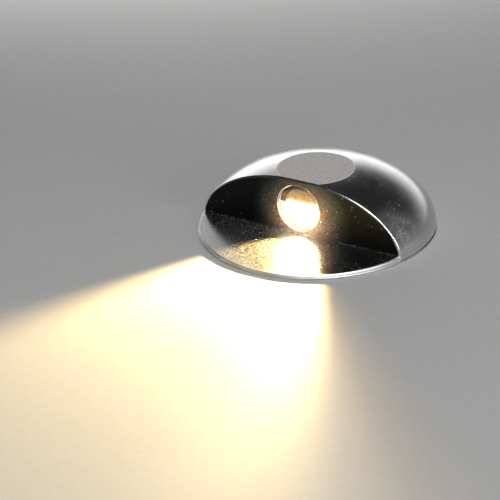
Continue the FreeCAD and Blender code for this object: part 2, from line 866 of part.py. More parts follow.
def gland_nut():
    """Clamping nut over the spigot: hexagonal, with a rounded end and a hole for the cable."""
    top = gland_hex_bottom - gland_nut_gap
    nut = hexagon(gland_flats, gland_nut_bottom, top)
    corner = gland_flats / math.sqrt(3)
    blank = disc(corner, gland_nut_bottom, top)
    end = [e for e in blank.Edges if e.Closed and abs(e.BoundBox.ZMax - gland_nut_bottom) < tiny]
    nut = nut.common(blank.makeFillet(gland_nut_round, end))
    nut = nut.cut(disc(gland_nut_bore_radius, gland_spigot_bottom, top))
    return nut.cut(disc(gland_bore_radius, gland_nut_bottom, gland_spigot_bottom))


def flange_gasket():
    """Flat rubber ring between the sleeve's collar and the dome."""
    return ring(collar_radius - gasket_gap, counterbore_radius + gasket_gap, collar_top, flange_top)


def ground_sleeve():
    """Sleeve set in the ground: a collar that takes the flange, and a tube open at its foot."""
    sleeve = lathe([
        (counterbore_radius, collar_top),
        (collar_radius, collar_top),
        (collar_radius, collar_bottom),
        (sleeve_radius, collar_bottom),
        (sleeve_radius, sleeve_bottom),
        (sleeve_bore_radius, sleeve_bottom),
        (sleeve_bore_radius, counterbore_floor - sleeve_lead_in),
        (sleeve_bore_radius + sleeve_lead_in, counterbore_floor),
        (counterbore_radius, counterbore_floor),
    ])
    for k in range(grip_groove_count):
        low = sleeve_bottom + grip_groove_lift + k * grip_groove_pitch
        groove = ring(collar_radius, sleeve_radius - grip_groove_depth, low, low + grip_groove_width)
        sleeve = sleeve.cut(groove)
    half = sleeve_slot_width / 2
    arch = sleeve_bottom + sleeve_slot_height - half
    slot = block((-half, -sleeve_radius, sleeve_bottom), (half, sleeve_radius, arch))
    return sleeve.cut(slot.fuse(rod(half, -sleeve_radius, sleeve_radius, 0, arch)))


PIECES = (
    dome_cover, window_lens, lens_seal, cutoff_shield, reflector_cup, led_package, led_dome,
    led_board, board_screws, thermal_pad, heat_sink_block, heat_sink_screws,
    barrel, flange_seal, flange_screws, sleeve_orings,
    end_cap, end_cap_seal, end_cap_circlip,
    driver_board, driver_inductor, driver_capacitor, driver_chip,
    led_terminal, supply_terminal, terminal_screws, lead_positive, lead_negative,
    gland_body, gland_washer, gland_locknut, gland_grommet, gland_nut,
    flange_gasket, ground_sleeve,
)

os.makedirs("parts", exist_ok=True)
for piece in PIECES:
    shape = piece()
    if not shape.isValid():
        raise ValueError(piece.__name__ + " is not a valid solid")
    shape.exportStep("parts/" + piece.__name__ + ".step")
    print(piece.__name__, len(shape.Solids), round(shape.Volume, 2))
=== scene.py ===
"""Dresses an in-ground path light: its polished dome, the finish of every piece, a studio and its own beam.

Metres, Z up. The origin is on the dome's axis at the paving surface, and the beam leaves towards -Y.
"""
import logging
import math
from contextlib import contextmanager
from dataclasses import dataclass, field
from enum import Enum
from typing import Callable, Iterator

import bmesh
import bpy
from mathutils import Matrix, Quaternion, Vector


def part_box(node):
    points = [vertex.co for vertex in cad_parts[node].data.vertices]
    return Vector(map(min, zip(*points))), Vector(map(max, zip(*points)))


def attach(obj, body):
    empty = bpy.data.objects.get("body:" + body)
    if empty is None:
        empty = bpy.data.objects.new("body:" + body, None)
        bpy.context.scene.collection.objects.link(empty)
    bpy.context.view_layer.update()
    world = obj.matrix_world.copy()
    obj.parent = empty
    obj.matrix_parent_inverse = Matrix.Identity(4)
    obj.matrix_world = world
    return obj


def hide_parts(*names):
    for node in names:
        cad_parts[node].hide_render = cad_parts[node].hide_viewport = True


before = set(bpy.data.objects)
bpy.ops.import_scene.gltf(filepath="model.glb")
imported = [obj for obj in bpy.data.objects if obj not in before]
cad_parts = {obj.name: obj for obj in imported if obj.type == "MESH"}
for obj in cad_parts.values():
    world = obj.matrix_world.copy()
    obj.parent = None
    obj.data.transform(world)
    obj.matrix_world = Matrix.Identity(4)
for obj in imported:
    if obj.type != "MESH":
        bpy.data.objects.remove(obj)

log = logging.getLogger("path_light")

Colour = tuple[float, float, float]
Point = tuple[float, float, float]
Socket = bpy.types.NodeSocket
Value = Socket | Colour | float
Material = bpy.types.Material
Piece = bpy.types.Object

MM = 0.001
ORIGIN = (0.0, 0.0, 0.0)
WHITE = (1.0, 1.0, 1.0)
MERGE_DISTANCE = 0.001 * MM
NEAR = 0.01 * MM
LEVEL = 0.999
NOISE_ROUGHNESS = 0.55
SPECK_RARITY = 3.0
# Sockets of a Mix node: the share and the two colours that go in, and the colour that comes out.
MIX_INPUTS = (0, 6, 7)
MIX_OUTPUT = 2


class Pick(Enum):
    """What a selection in edit mode is made of."""

    POINTS = "VERT"
    EDGES = "EDGE"


class Axis(Enum):
    """An axis of the light's frame."""

    X = "X"
    Y = "Y"
    Z = "Z"


class Band(Enum):
    """The stretch of a noise over which one value turns into another."""

    WIDE = (0.25, 0.75)
    SOFT = (0.3, 0.7)
    CLOUD = (0.35, 0.7)
    FIRM = (0.35, 0.65)
    WORN = (0.35, 0.6)
    GRAIN = (0.36, 0.64)
    BLOOM = (0.42, 0.75)
    FILM = (0.45, 0.8)
    CRUMB = (0.5, 0.62)


class Reach(Enum):
    """How a lamp's strength holds along its way."""

    EVEN = "Constant"
    FADING = "Linear"
    NATURAL = "Quadratic"


class Zone(Enum):
    """The differently finished areas of the dome, in the order of its material slots."""

    SKIN = 0
    FLAT = 1
    WALL = 2
    FLOOR = 3
    EDGE = 4
    RIM = 5
    HIDDEN = 6


def clear_selection() -> None:
    """Deselect everything, so that an operator acts on nothing by accident."""
    for other in bpy.context.selected_objects:
        other.select_set(False)


def only(piece: Piece) -> None:
    """Make one object the only selected one, and the active one.

    Args:
        piece: The object to work on.
    """
    clear_selection()
    piece.select_set(True)
    bpy.context.view_layer.objects.active = piece


@contextmanager
def editing(piece: Piece) -> Iterator[None]:
    """Hold an object in edit mode, with all of it selected at first.

    Args:
        piece: The object to edit.

    Returns:
        A context in which the object is in edit mode.
    """
    only(piece)
    bpy.ops.object.mode_set(mode="EDIT")
    bpy.ops.mesh.select_all(action="SELECT")
    yield
    bpy.ops.object.mode_set(mode="OBJECT")


def pick(kind: Pick, test: Callable[..., bool]) -> int:
    """Select the points or edges that pass a test, in the object being edited.

    Args:
        kind: What to select.
        test: Says of one point or edge whether it is wanted.

    Returns:
        How many were selected.
    """
    bpy.ops.mesh.select_mode(type=kind.value)
    bpy.ops.mesh.select_all(action="DESELECT")
    shape = bpy.context.edit_object.data
    mesh = bmesh.from_edit_mesh(shape)
    pool = mesh.verts if kind is Pick.POINTS else mesh.edges
    wanted = [item for item in pool if test(item)]
    for item in wanted:
        item.select_set(True)
    mesh.select_flush_mode()
    bmesh.update_edit_mesh(shape)
    return len(wanted)


def apply_modifier(piece: Piece, kind: str, **settings: object) -> None:
    """Add a modifier to an object and apply it.

    Args:
        piece: The object.
        kind: Blender's name of the modifier type.
        **settings: Its settings.
    """
    only(piece)
    modifier = piece.modifiers.new(kind.title(), kind)
    for name, value in settings.items():
        setattr(modifier, name, value)
    bpy.ops.object.modifier_apply(modifier=modifier.name)


def bent_grid(columns: int, rows: int, where: Callable[[float, int], Vector]) -> Piece:
    """Lay a grid of quads on a curved surface.

    Args:
        columns: Quads across.
        rows: Quads up.
        where: Place of the point at a share across and a row number.

    Returns:
        The bent grid.
    """
    clear_selection()
    bpy.ops.mesh.primitive_grid_add(x_subdivisions=columns, y_subdivisions=rows, size=2.0)
    grid = bpy.context.object
    for point in grid.data.vertices:
        across, up = (point.co.x + 1.0) / 2.0, (point.co.y + 1.0) / 2.0
        point.co = where(across, round(up * rows))
    return grid


def cutter_rod(radius: float, start: Vector, end: Vector, sides: int) -> Piece:
    """A rod to cut with.

    Args:
        radius: Its radius.
        start: Middle of one end.
        end: Middle of the other.
        sides: How many flats it has.

    Returns:
        The rod.
    """
    clear_selection()
    way = end - start
    turn = way.to_track_quat("Z", "Y").to_euler()
    bpy.ops.mesh.primitive_cylinder_add(
        vertices=sides, radius=radius, depth=way.length, location=(start + end) / 2, rotation=turn
    )
    bpy.ops.object.transform_apply(location=True, rotation=True, scale=True)
    return bpy.context.object


def cutter_block(low: Vector, high: Vector) -> Piece:
    """A block to cut with.

    Args:
        low: Its lowest corner.
        high: Its highest corner.

    Returns:
        The block.
    """
    clear_selection()
    bpy.ops.mesh.primitive_cube_add(size=1.0, location=(low + high) / 2)
    bpy.context.object.scale = high - low
    bpy.ops.object.transform_apply(location=True, rotation=True, scale=True)
    return bpy.context.object


def facing(way: Vector) -> Quaternion:
    """Turn of a lamp or a camera that looks along a way."""
    return way.to_track_quat("-Z", "Y")


def stand(thing: bpy.types.ID, place: Vector, turn: Quaternion) -> Piece:
    """Put a lamp or a camera into the scene.

    Args:
        thing: The lamp or camera.
        place: Where it stands.
        turn: Which way it looks.

    Returns:
        The object that holds it.
    """
    holder = bpy.data.objects.new(thing.name, thing)
    bpy.context.scene.collection.objects.link(holder)
    holder.rotation_mode = "QUATERNION"
    holder.location = place
    holder.rotation_quaternion = turn
    return holder


class NodeBench:
    """Lays out the nodes of one tree."""

    def __init__(self, tree: bpy.types.NodeTree) -> None:
        """Take a tree to work on."""
        self.tree = tree

    def add(self, kind: str, sockets: dict | None = None, **settings: object) -> bpy.types.Node:
        """Add a node.

        Args:
            kind: The node's type.
            sockets: Input names or numbers, each with a constant or the socket that feeds it.
            **settings: The node's own settings.

        Returns:
            The new node.
        """
        node = self.tree.nodes.new(kind)
        for name, value in settings.items():
            setattr(node, name, value)
        for name, value in (sockets or {}).items():
            self.feed(node.inputs[name], value)
        return node

    def feed(self, socket: Socket, value: Value) -> None:
        """Set a socket to a constant, or link another socket to it.

        Args:
            socket: The input.
            value: A number, a colour, a vector or an output socket.
        """
        if isinstance(value, bpy.types.NodeSocket):
            self.tree.links.new(value, socket)
        elif socket.type == "RGBA":
            socket.default_value = (*value, 1.0)
        else:
            socket.default_value = value

    def math(self, operation: str, *values: Value) -> Socket:
        """Work out one number from up to three."""
        return self.add("ShaderNodeMath", dict(enumerate(values)), operation=operation).outputs[0]

    def vector(self, operation: str, output: str, first: Value, second: Value) -> Socket:
        """Work out a vector or a number from two vectors."""
        return self.add("ShaderNodeVectorMath", {0: first, 1: second}, operation=operation).outputs[output]

    def fade(self, value: Socket, low: float, high: float, start: float = 0.0, end: float = 1.0) -> Socket:
        """Map the stretch from low to high smoothly to that from start to end, holding the ends."""
        sockets = {"Value": value, "From Min": low, "From Max": high, "To Min": start, "To Max": end}
        return self.add("ShaderNodeMapRange", sockets, interpolation_type="SMOOTHSTEP").outputs["Result"]


class MaterialBench(NodeBench):
    """Lays out the nodes of one material, on Object coordinates."""

    def __init__(self, name: str) -> None:
        """Start an empty material.

        Args:
            name: The material's name.
        """
        self.material: Material = bpy.data.materials.new(name)
        self.material.use_nodes = True
        super().__init__(self.material.node_tree)
        self.tree.nodes.clear()
        self.output = self.add("ShaderNodeOutputMaterial")
        self.place: Socket = self.add("ShaderNodeTexCoord").outputs["Object"]

    def axis(self, axis: Axis) -> Socket:
        """One of the Object coordinates, in metres."""
        return self.add("ShaderNodeSeparateXYZ", {0: self.place}).outputs[axis.value]

    def distance(self, centre: Point, counted: Point = (1.0, 1.0, 1.0)) -> Socket:
        """Distance from a point, along the axes that are counted."""
        flat = self.vector("MULTIPLY", "Vector", self.place, counted)
        return self.vector("DISTANCE", "Value", flat, centre)

    def stretched(self, scale: Point) -> Socket:
        """Object coordinates, stretched along the axes."""
        return self.add("ShaderNodeMapping", {"Vector": self.place, "Scale": scale}).outputs[0]

    def noise(self, size: float, detail: float = 2.0, place: Socket | None = None) -> Socket:
        """Soft noise of about 0 to 1, by the size of its patches and the number of its finer layers."""
        sockets = {"Vector": place or self.place, "Scale": 1.0 / size, "Detail": detail}
        return self.add("ShaderNodeTexNoise", sockets | {"Roughness": NOISE_ROUGHNESS}).outputs["Fac"]

    def spread(self, noise: Socket, band: Band, start: float = 0.0, end: float = 1.0) -> Socket:
        """Map a band of a noise to the stretch from start to end."""
        return self.fade(noise, *band.value, start, end)

    def blend(self, share: Socket, first: Value, second: Value) -> Socket:
        """Mix two colours, by the share of the second."""
        sockets = dict(zip(MIX_INPUTS, (share, first, second)))
        return self.add("ShaderNodeMix", sockets, data_type="RGBA").outputs[MIX_OUTPUT]

    def tones(self, share: Socket, colour: Colour, dark: float, light: float) -> Socket:
        """Mix a dark and a light tone of a colour, by the share of the light one."""
        low, high = (tuple(min(1.0, part * tone) for part in colour) for tone in (dark, light))
        return self.blend(share, low, high)

    def specks(self, spacing: float, size: float) -> Socket:
        """Small round specks, scattered.

        Args:
            spacing: Mean distance between specks, in metres.
            size: Share of the spacing that the largest speck takes.

        Returns:
            1 on a speck, 0 beside it.
        """
        sockets = {"Vector": self.place, "Scale": 1.0 / spacing, "Randomness": 1.0}
        cells = self.add("ShaderNodeTexVoronoi", sockets)
        chance = self.add("ShaderNodeSeparateColor", {0: cells.outputs["Color"]}).outputs["Red"]
        reach = self.math("MULTIPLY", self.math("POWER", chance, SPECK_RARITY), size)
        return self.math("LESS_THAN", cells.outputs["Distance"], reach)

    def bump(self, height: Socket, depth: float) -> Socket:
        """Surface normal from a height of 0 to 1, where 1 stands for a depth in metres."""
        sockets = {"Height": height, "Distance": depth, "Strength": 1.0}
        return self.add("ShaderNodeBump", sockets).outputs["Normal"]

    def done(self, shader: bpy.types.Node) -> Material:
        """Send a shader to the output, which finishes the material."""
        self.tree.links.new(shader.outputs[0], self.output.inputs["Surface"])
        return self.material

    def surface(self, sockets: dict[str, Value]) -> Material:
        """Finish the material as one plain surface."""
        return self.done(self.add("ShaderNodeBsdfPrincipled", sockets))


@dataclass(frozen=True)
class Finish:
    """What every finish has: a name, a colour and a roughness."""

    name: str
    colour: Colour
    roughness: float

    def make(self) -> Material:
        """Make the material of this finish."""
        raise NotImplementedError

    def uneven(self, bench: MaterialBench, noise: Socket, band: Band, less: float, more: float) -> Socket:
        """Roughness that a noise takes down by one step and up by another."""
        return bench.spread(noise, band, self.roughness - less, self.roughness + more)


@dataclass(frozen=True)
class HandledPolish(Finish):
    """Polished metal with a breath of haze, a dusty patch and scattered specks of grit; on the outlet's wall
    the patch is also a painted glow, and on the outlet's edges a pale veil is a painted highlight.
    """

    haze: float = 0.08
    haze_size: float = 5.0 * MM
    satin: float = 0.0
    dust_and_painted_highlight: float = 0.0
    dust_cover: float = 0.7
    grit_colour: Colour = (0.55, 0.54, 0.52)
    grit_spacing: float = 0.9 * MM
    grit_size: float = 0.2
    patch_centre: Point = ORIGIN
    patch_radius: float = 0.0
    patch_share: float = 0.0
    patch_grain: float = 0.3 * MM
    patch_contrast: float = 0.65
    patch_smear: float = 2.2 * MM
    smear_thin: float = 0.4
    dust_and_painted_glow_colour: Colour | None = None
    patch_edge: tuple[float, float] = (0.45, 0.75)
    seam_axis: Axis | None = None
    seam_at: float = 0.0
    seam_width: float = 0.5 * MM
    seam_share: float = 0.35

    def make(self) -> Material:
        """Make the polished metal.

        Returns:
            The material.
        """
        bench = MaterialBench(self.name)
        rough = self.uneven(bench, bench.noise(self.haze_size, detail=4.0), Band.CLOUD, 0.0, self.haze)
        if self.satin > 0.0:
            grain = bench.spread(bench.noise(self.patch_grain), Band.SOFT, -self.satin, self.satin)
            rough = bench.math("ADD", rough, grain)
        # a veil over the whole surface: faint dust on the wall, and a pale painted highlight on the outlet's
        # edges
        film = bench.math("MAXIMUM", bench.specks(self.grit_spacing, self.grit_size), self.dust_and_painted_highlight)
        dust: Value = self.grit_colour
        if self.patch_share > 0.0:
            away = bench.distance(self.patch_centre)
            film = bench.math("MAXIMUM", film, self.dusty_patch(bench, away))
            # an edge colour turns the patch's dust to another tint outwards; on the wall this is a painted
            # glow tint
            if self.dust_and_painted_glow_colour:
                outwards = bench.fade(away, *(share * self.patch_radius for share in self.patch_edge))
                dust = bench.blend(outwards, self.grit_colour, self.dust_and_painted_glow_colour)
        if self.seam_axis:
            film = bench.math("MAXIMUM", film, self.seam_dust(bench))
        return bench.surface({
            "Base Color": bench.blend(film, self.colour, dust),
            "Metallic": bench.math("SUBTRACT", 1.0, bench.math("MULTIPLY", film, self.dust_cover)),
            "Roughness": rough,
        })

    def dusty_patch(self, bench: MaterialBench, away: Socket) -> Socket:
        """Cover of the dusty patch: grainy, thick at its centre and thin at its edge.

        Args:
            bench: Where the nodes go.
            away: Distance from the patch's centre.

        Returns:
            The cover, 0 to 1.
        """
        cover = bench.fade(away, 0.0, self.patch_radius, self.patch_share, 0.0)
        grain = bench.spread(bench.noise(self.patch_grain), Band.GRAIN, 1.0 - self.patch_contrast, 1.0)
        cover = bench.math("MULTIPLY", cover, grain)
        if self.patch_smear > 0.0:
            smear = bench.spread(bench.noise(self.patch_smear, detail=5.0), Band.SOFT, self.smear_thin, 1.0)
            cover = bench.math("MULTIPLY", cover, smear)
        return cover

    def seam_dust(self, bench: MaterialBench) -> Socket:
        """Cover of the grains that gather along an inner corner.

        Args:
            bench: Where the nodes go.

        Returns:
            The cover, 0 to 1.
        """
        away = bench.math("ABSOLUTE", bench.math("SUBTRACT", bench.axis(self.seam_axis), self.seam_at))
        near = bench.fade(away, 0.0, self.seam_width, self.seam_share, 0.0)
        grains = bench.spread(bench.noise(self.patch_grain, detail=3.0), Band.CRUMB)
        return bench.math("MULTIPLY", near, grains)


@dataclass(frozen=True)
class BlastedMetal(Finish):
    """Metal with an even, finely blasted grain, which may be worn bright towards a round edge."""

    grain: float = 0.16 * MM
    depth: float = 0.006 * MM
    satin: float = 0.06
    speckle: float = 0.03
    worn_colour: Colour = (0.95, 0.94, 0.93)
    worn_radius: float = 0.0
    worn_width: float = 0.6 * MM
    worn_size: float = 0.8 * MM

    def make(self) -> Material:
        """Make the blasted metal.

        Returns:
            The material.
        """
        bench = MaterialBench(self.name)
        grain = bench.noise(self.grain, detail=3.0)
        share = bench.spread(grain, Band.FIRM)
        colour = bench.tones(share, self.colour, 1.0 - self.speckle, 1.0 + self.speckle)
        if self.worn_radius > 0.0:
            away = bench.distance(ORIGIN, counted=(1.0, 1.0, 0.0))
            worn = bench.fade(away, self.worn_radius - self.worn_width, self.worn_radius)
            patchy = bench.spread(bench.noise(self.worn_size, detail=3.0), Band.WORN)
            colour = bench.blend(bench.math("MULTIPLY", worn, patchy), colour, self.worn_colour)
        return bench.surface({
            "Base Color": colour,
            "Metallic": 1.0,
            "Roughness": self.uneven(bench, grain, Band.SOFT, self.satin, self.satin),
            "Normal": bench.bump(grain, self.depth),
        })


@dataclass(frozen=True)
class TurnedMetal(Finish):
    """Metal turned about the Z axis: fine tool lines round it, and a little uneven tone."""

    pitch: float = 0.12 * MM
    line_scale: Point = (0.02, 0.02, 1.0)
    depth: float = 0.008 * MM
    smoother: float = 0.05
    rougher: float = 0.08
    tone_size: float = 9.0 * MM
    dark_tone: float = 0.9
    light_tone: float = 1.08

    def make(self) -> Material:
        """Make the turned metal.

        Returns:
            The material.
        """
        bench = MaterialBench(self.name)
        lines = bench.noise(self.pitch, place=bench.stretched(self.line_scale))
        share = bench.spread(bench.noise(self.tone_size, detail=4.0), Band.SOFT)
        return bench.surface({
            "Base Color": bench.tones(share, self.colour, self.dark_tone, self.light_tone),
            "Metallic": 1.0,
            "Roughness": self.uneven(bench, lines, Band.SOFT, self.smoother, self.rougher),
            "Normal": bench.bump(lines, self.depth),
        })


@dataclass(frozen=True)
class MouldedPlastic(Finish):
    """Plastic from a lightly textured mould."""

    grain: float = 0.22 * MM
    depth: float = 0.012 * MM
    satin: float = 0.08
    mottle: float = 0.12
    mottle_size: float = 6.0 * MM

    def make(self) -> Material:
        """Make the moulded plastic.

        Returns:
            The material.
        """
        bench = MaterialBench(self.name)
        grain = bench.noise(self.grain, detail=3.0)
        share = bench.spread(bench.noise(self.mottle_size, detail=4.0), Band.SOFT)
        return bench.surface({
            "Base Color": bench.tones(share, self.colour, 1.0 - self.mottle, 1.0 + self.mottle),
            "Roughness": self.uneven(bench, grain, Band.WIDE, self.satin, self.satin),
            "Normal": bench.bump(grain, self.depth),
        })


@dataclass(frozen=True)
class Rubber(Finish):
    """Dark moulded rubber with a faint pale bloom."""

    bloom: Colour = (0.07, 0.07, 0.072)
    bloom_size: float = 3.0 * MM
    bloom_roughness: float = 0.15
    specular: float = 0.35
    grain: float = 0.15 * MM
    depth: float = 0.006 * MM

    def make(self) -> Material:
        """Make the rubber.

        Returns:
            The material.
        """
        bench = MaterialBench(self.name)
        patches = bench.spread(bench.noise(self.bloom_size, detail=5.0), Band.BLOOM)
        return bench.surface({
            "Base Color": bench.blend(patches, self.colour, self.bloom),
            "Roughness": bench.fade(
                patches, 0.0, 1.0, self.roughness, self.roughness + self.bloom_roughness,
            ),
            "Specular IOR Level": self.specular,
            "Normal": bench.bump(bench.noise(self.grain), self.depth),
        })


@dataclass(frozen=True)
class ClearWindow(Finish):
    """Clear glass with the slightest film of dust, with a painted highlight, a painted glow and painted
    shade at its rounded rim.

    Above the level edge_z the rim has a painted pale highlight on its sides, and painted shade darkens the
    glass near it.
    Below, the rim has a painted golden glow and colour, standing in for the light the glass carries.
    """

    index: float = 1.47
    film: float = 0.06
    film_size: float = 1.2 * MM
    middle_z: float = 0.0
    edge_z: float = 0.0
    edge_fade: float = 0.5 * MM
    rim_radius: float = 0.0
    rim_line: float = 0.25 * MM
    painted_rim_highlight: Colour = (1.0, 0.93, 0.84)
    rim_side: tuple[float, float] = (0.2, 0.5)
    left_highlight: float = 0.0
    right_highlight: float = 0.0
    painted_lit_rim_glow: Colour = (1.0, 0.5, 0.07)
    painted_lit_rim_strength: float = 0.45
    painted_lit_rim_colour: Colour = (0.2, 0.1, 0.012)
    # painted shade: the dark colour the glass takes near its rim above edge_z
    smoke_and_painted_shade: Colour = (0.13, 0.1, 0.065)
    painted_shade_width: float = 1.0 * MM
    painted_shade_edge: float = 0.4 * MM
    painted_shade_turn: float = 0.3
    painted_shade_right: float = 0.2

    def make(self) -> Material:
        """Make the glass.

        Returns:
            The material.
        """
        bench = MaterialBench(self.name)
        film = bench.noise(self.film_size, detail=4.0)
        across, level = bench.axis(Axis.X), bench.axis(Axis.Z)
        away = bench.distance((0.0, 0.0, self.middle_z), counted=(1.0, 0.0, 1.0))
        upper = bench.fade(level, self.edge_z - self.edge_fade, self.edge_z + self.edge_fade)
        lower = bench.math("SUBTRACT", 1.0, upper)
        widths = (self.rim_line, self.painted_shade_width, self.painted_shade_edge)
        line, ring, edge = (self.near_rim(bench, away, width) for width in widths)
        near, far = (share * self.rim_radius for share in self.rim_side)
        # painted highlight on the rim's pale sides above edge_z, and painted golden glow along the rim below
        # it
        left = bench.fade(across, -far, -near, self.left_highlight, 0.0)
        right = bench.fade(across, near, far, 0.0, self.right_highlight)
        rim = bench.math("MULTIPLY", upper, bench.math("ADD", left, right))
        rim = bench.math("MULTIPLY_ADD", lower, self.painted_lit_rim_strength, rim)
        # painted shade near the rim, fading from the left side towards the right
        turn = self.painted_shade_turn * self.rim_radius
        leftwards = bench.fade(across, -turn, turn, 1.0, self.painted_shade_right)
        painted_shade = bench.math("MAXIMUM", bench.math("MULTIPLY", ring, leftwards), edge)
        glass = bench.blend(bench.math("MULTIPLY", painted_shade, upper), self.colour, self.smoke_and_painted_shade)
        # the rim line below edge_z takes a painted amber colour along with its painted glow
        return bench.surface({
            "Base Color": bench.blend(bench.math("MULTIPLY", line, lower), glass, self.painted_lit_rim_colour),
            "Roughness": self.uneven(bench, film, Band.FILM, 0.0, self.film),
            "IOR": self.index,
            "Transmission Weight": 1.0,
            "Emission Color": bench.blend(upper, self.painted_lit_rim_glow, self.painted_rim_highlight),
            "Emission Strength": bench.math("MULTIPLY", line, rim),
        })

    def near_rim(self, bench: MaterialBench, away: Socket, width: float) -> Socket:
        """1 in the outer half of a ring along the rim, fading to 0 at the ring's inner edge."""
        return bench.fade(away, self.rim_radius - width, self.rim_radius - width / 2)


@dataclass(frozen=True)
class LitReflector(Finish):
    """Bright reflector washed by the emitter it surrounds, a touch dimmer towards its mouth."""

    glow: Colour = (1.0, 0.86, 0.62)
    deep_y: float = 0.0
    mouth_y: float = 0.0
    deep_strength: float = 1.0
    mouth_strength: float = 1.0
    patch_size: float = 1.5 * MM
    patch_tones: tuple[float, float] = (0.9, 1.1)
    haze: float = 0.1

    def make(self) -> Material:
        """Make the lit reflector.

        Returns:
            The material.
        """
        bench = MaterialBench(self.name)
        inwards = bench.axis(Axis.Y)
        reach = bench.fade(inwards, self.mouth_y, self.deep_y, self.mouth_strength, self.deep_strength)
        patch = bench.spread(bench.noise(self.patch_size), Band.SOFT, *self.patch_tones)
        return bench.surface({
            "Base Color": self.colour,
            "Metallic": 1.0,
            "Roughness": bench.fade(patch, *self.patch_tones, self.roughness, self.roughness + self.haze),
            "Emission Color": self.glow,
            "Emission Strength": bench.math("MULTIPLY", reach, patch),
        })


@dataclass(frozen=True)
class GlowingShield(Finish):
    """Smoky piece warmed by the light behind it: amber above a level, most so along it, and lit below."""

    metallic: float = 0.4
    glow: Colour = (1.0, 0.6, 0.24)
    edge_z: float = 0.0
    top_z: float = 0.0
    edge_strength: float = 1.0
    top_strength: float = 0.0
    smoke_size: float = 1.1 * MM
    smoke_tones: tuple[float, float] = (0.75, 1.15)
    line_glow: Colour = (1.0, 0.74, 0.3)
    line_strength: float = 0.0
    line_width: float = 1.1 * MM
    lit_glow: Colour = (1.0, 0.93, 0.84)
    lit_strength: float = 0.0

    def make(self) -> Material:
        """Make the smoky piece.

        Returns:
            The material.
        """
        bench = MaterialBench(self.name)
        level = bench.axis(Axis.Z)
        height = bench.fade(level, self.edge_z, self.top_z, self.edge_strength, self.top_strength)
        smoke_and_painted_shade = bench.spread(bench.noise(self.smoke_size, detail=4.0), Band.SOFT, *self.smoke_tones)
        line = bench.fade(level, self.edge_z, self.edge_z + self.line_width, 1.0, 0.0)
        strength = bench.math("MULTIPLY", height, smoke_and_painted_shade)
        strength = bench.math("MULTIPLY_ADD", line, self.line_strength, strength)
        colour = bench.blend(line, self.glow, self.line_glow)
        if self.lit_strength > 0.0:
            lit = bench.math("LESS_THAN", level, self.edge_z)
            strength = bench.math("MULTIPLY_ADD", lit, self.lit_strength, strength)
            colour = bench.blend(lit, colour, self.lit_glow)
        return bench.surface({
            "Base Color": self.colour,
            "Metallic": self.metallic,
            "Roughness": self.roughness,
            "Emission Color": colour,
            "Emission Strength": strength,
        })


@dataclass(frozen=True)
class CircuitBoard(Finish):
    """Lacquered circuit board, its copper tracks just raised under the lacquer."""

    track_colour: Colour = (0.1, 0.2, 0.1)
    track_pitch: float = 1.3 * MM
    track_edge: tuple[float, float] = (0.42, 0.46)
    track_rise: float = 0.03 * MM
    grain: float = 0.5 * MM
    haze: float = 0.1
    lacquer: float = 0.4
    lacquer_roughness: float = 0.12

    def make(self) -> Material:
        """Make the board.

        Returns:
            The material.
        """
        bench = MaterialBench(self.name)
        sockets = {"Vector": bench.place, "Scale": 1.0 / self.track_pitch}
        cells = bench.add("ShaderNodeTexVoronoi", sockets, distance="MANHATTAN", feature="F1")
        track = bench.fade(cells.outputs["Distance"], *self.track_edge)
        return bench.surface({
            "Base Color": bench.blend(track, self.colour, self.track_colour),
            "Roughness": self.uneven(bench, bench.noise(self.grain), Band.SOFT, 0.0, self.haze),
            "Coat Weight": self.lacquer,
            "Coat Roughness": self.lacquer_roughness,
            "Normal": bench.bump(track, self.track_rise),
        })


@dataclass(frozen=True)
class TwoTone(Finish):
    """A body and a metal part of it, told apart by how far they lie from the middle along an axis."""

    metal_colour: Colour = (0.7, 0.7, 0.7)
    axis: Axis = Axis.X
    metal_from: float = 0.0
    grain: float = 0.3 * MM
    depth: float = 0.004 * MM
    haze: float = 0.12

    def make(self) -> Material:
        """Make the two-tone finish.

        Returns:
            The material.
        """
        bench = MaterialBench(self.name)
        metal = bench.math("GREATER_THAN", bench.math("ABSOLUTE", bench.axis(self.axis)), self.metal_from)
        grain = bench.noise(self.grain, detail=3.0)
        return bench.surface({
            "Base Color": bench.blend(metal, self.colour, self.metal_colour),
            "Metallic": metal,
            "Roughness": self.uneven(bench, grain, Band.SOFT, 0.0, self.haze),
            "Normal": bench.bump(grain, self.depth),
        })


@dataclass(frozen=True)
class StudioFloor(Finish):
    """Plain pale floor, clear from below so that the buried pieces can be looked at."""

    tone_size: float = 2.0 * MM
    dark_tone: float = 0.96
    specular: float = 0.15

    def make(self) -> Material:
        """Make the floor.

        Returns:
            The material.
        """
        bench = MaterialBench(self.name)
        share = bench.spread(bench.noise(self.tone_size, detail=6.0), Band.SOFT)
        surface = bench.add("ShaderNodeBsdfPrincipled", {
            "Base Color": bench.tones(share, self.colour, self.dark_tone, 1.0),
            "Roughness": self.roughness,
            "Specular IOR Level": self.specular,
        })
        clear = bench.add("ShaderNodeBsdfTransparent")
        under = bench.add("ShaderNodeNewGeometry").outputs["Backfacing"]
        sides = {0: under, 1: surface.outputs[0], 2: clear.outputs[0]}
        return bench.done(bench.add("ShaderNodeMixShader", sides))


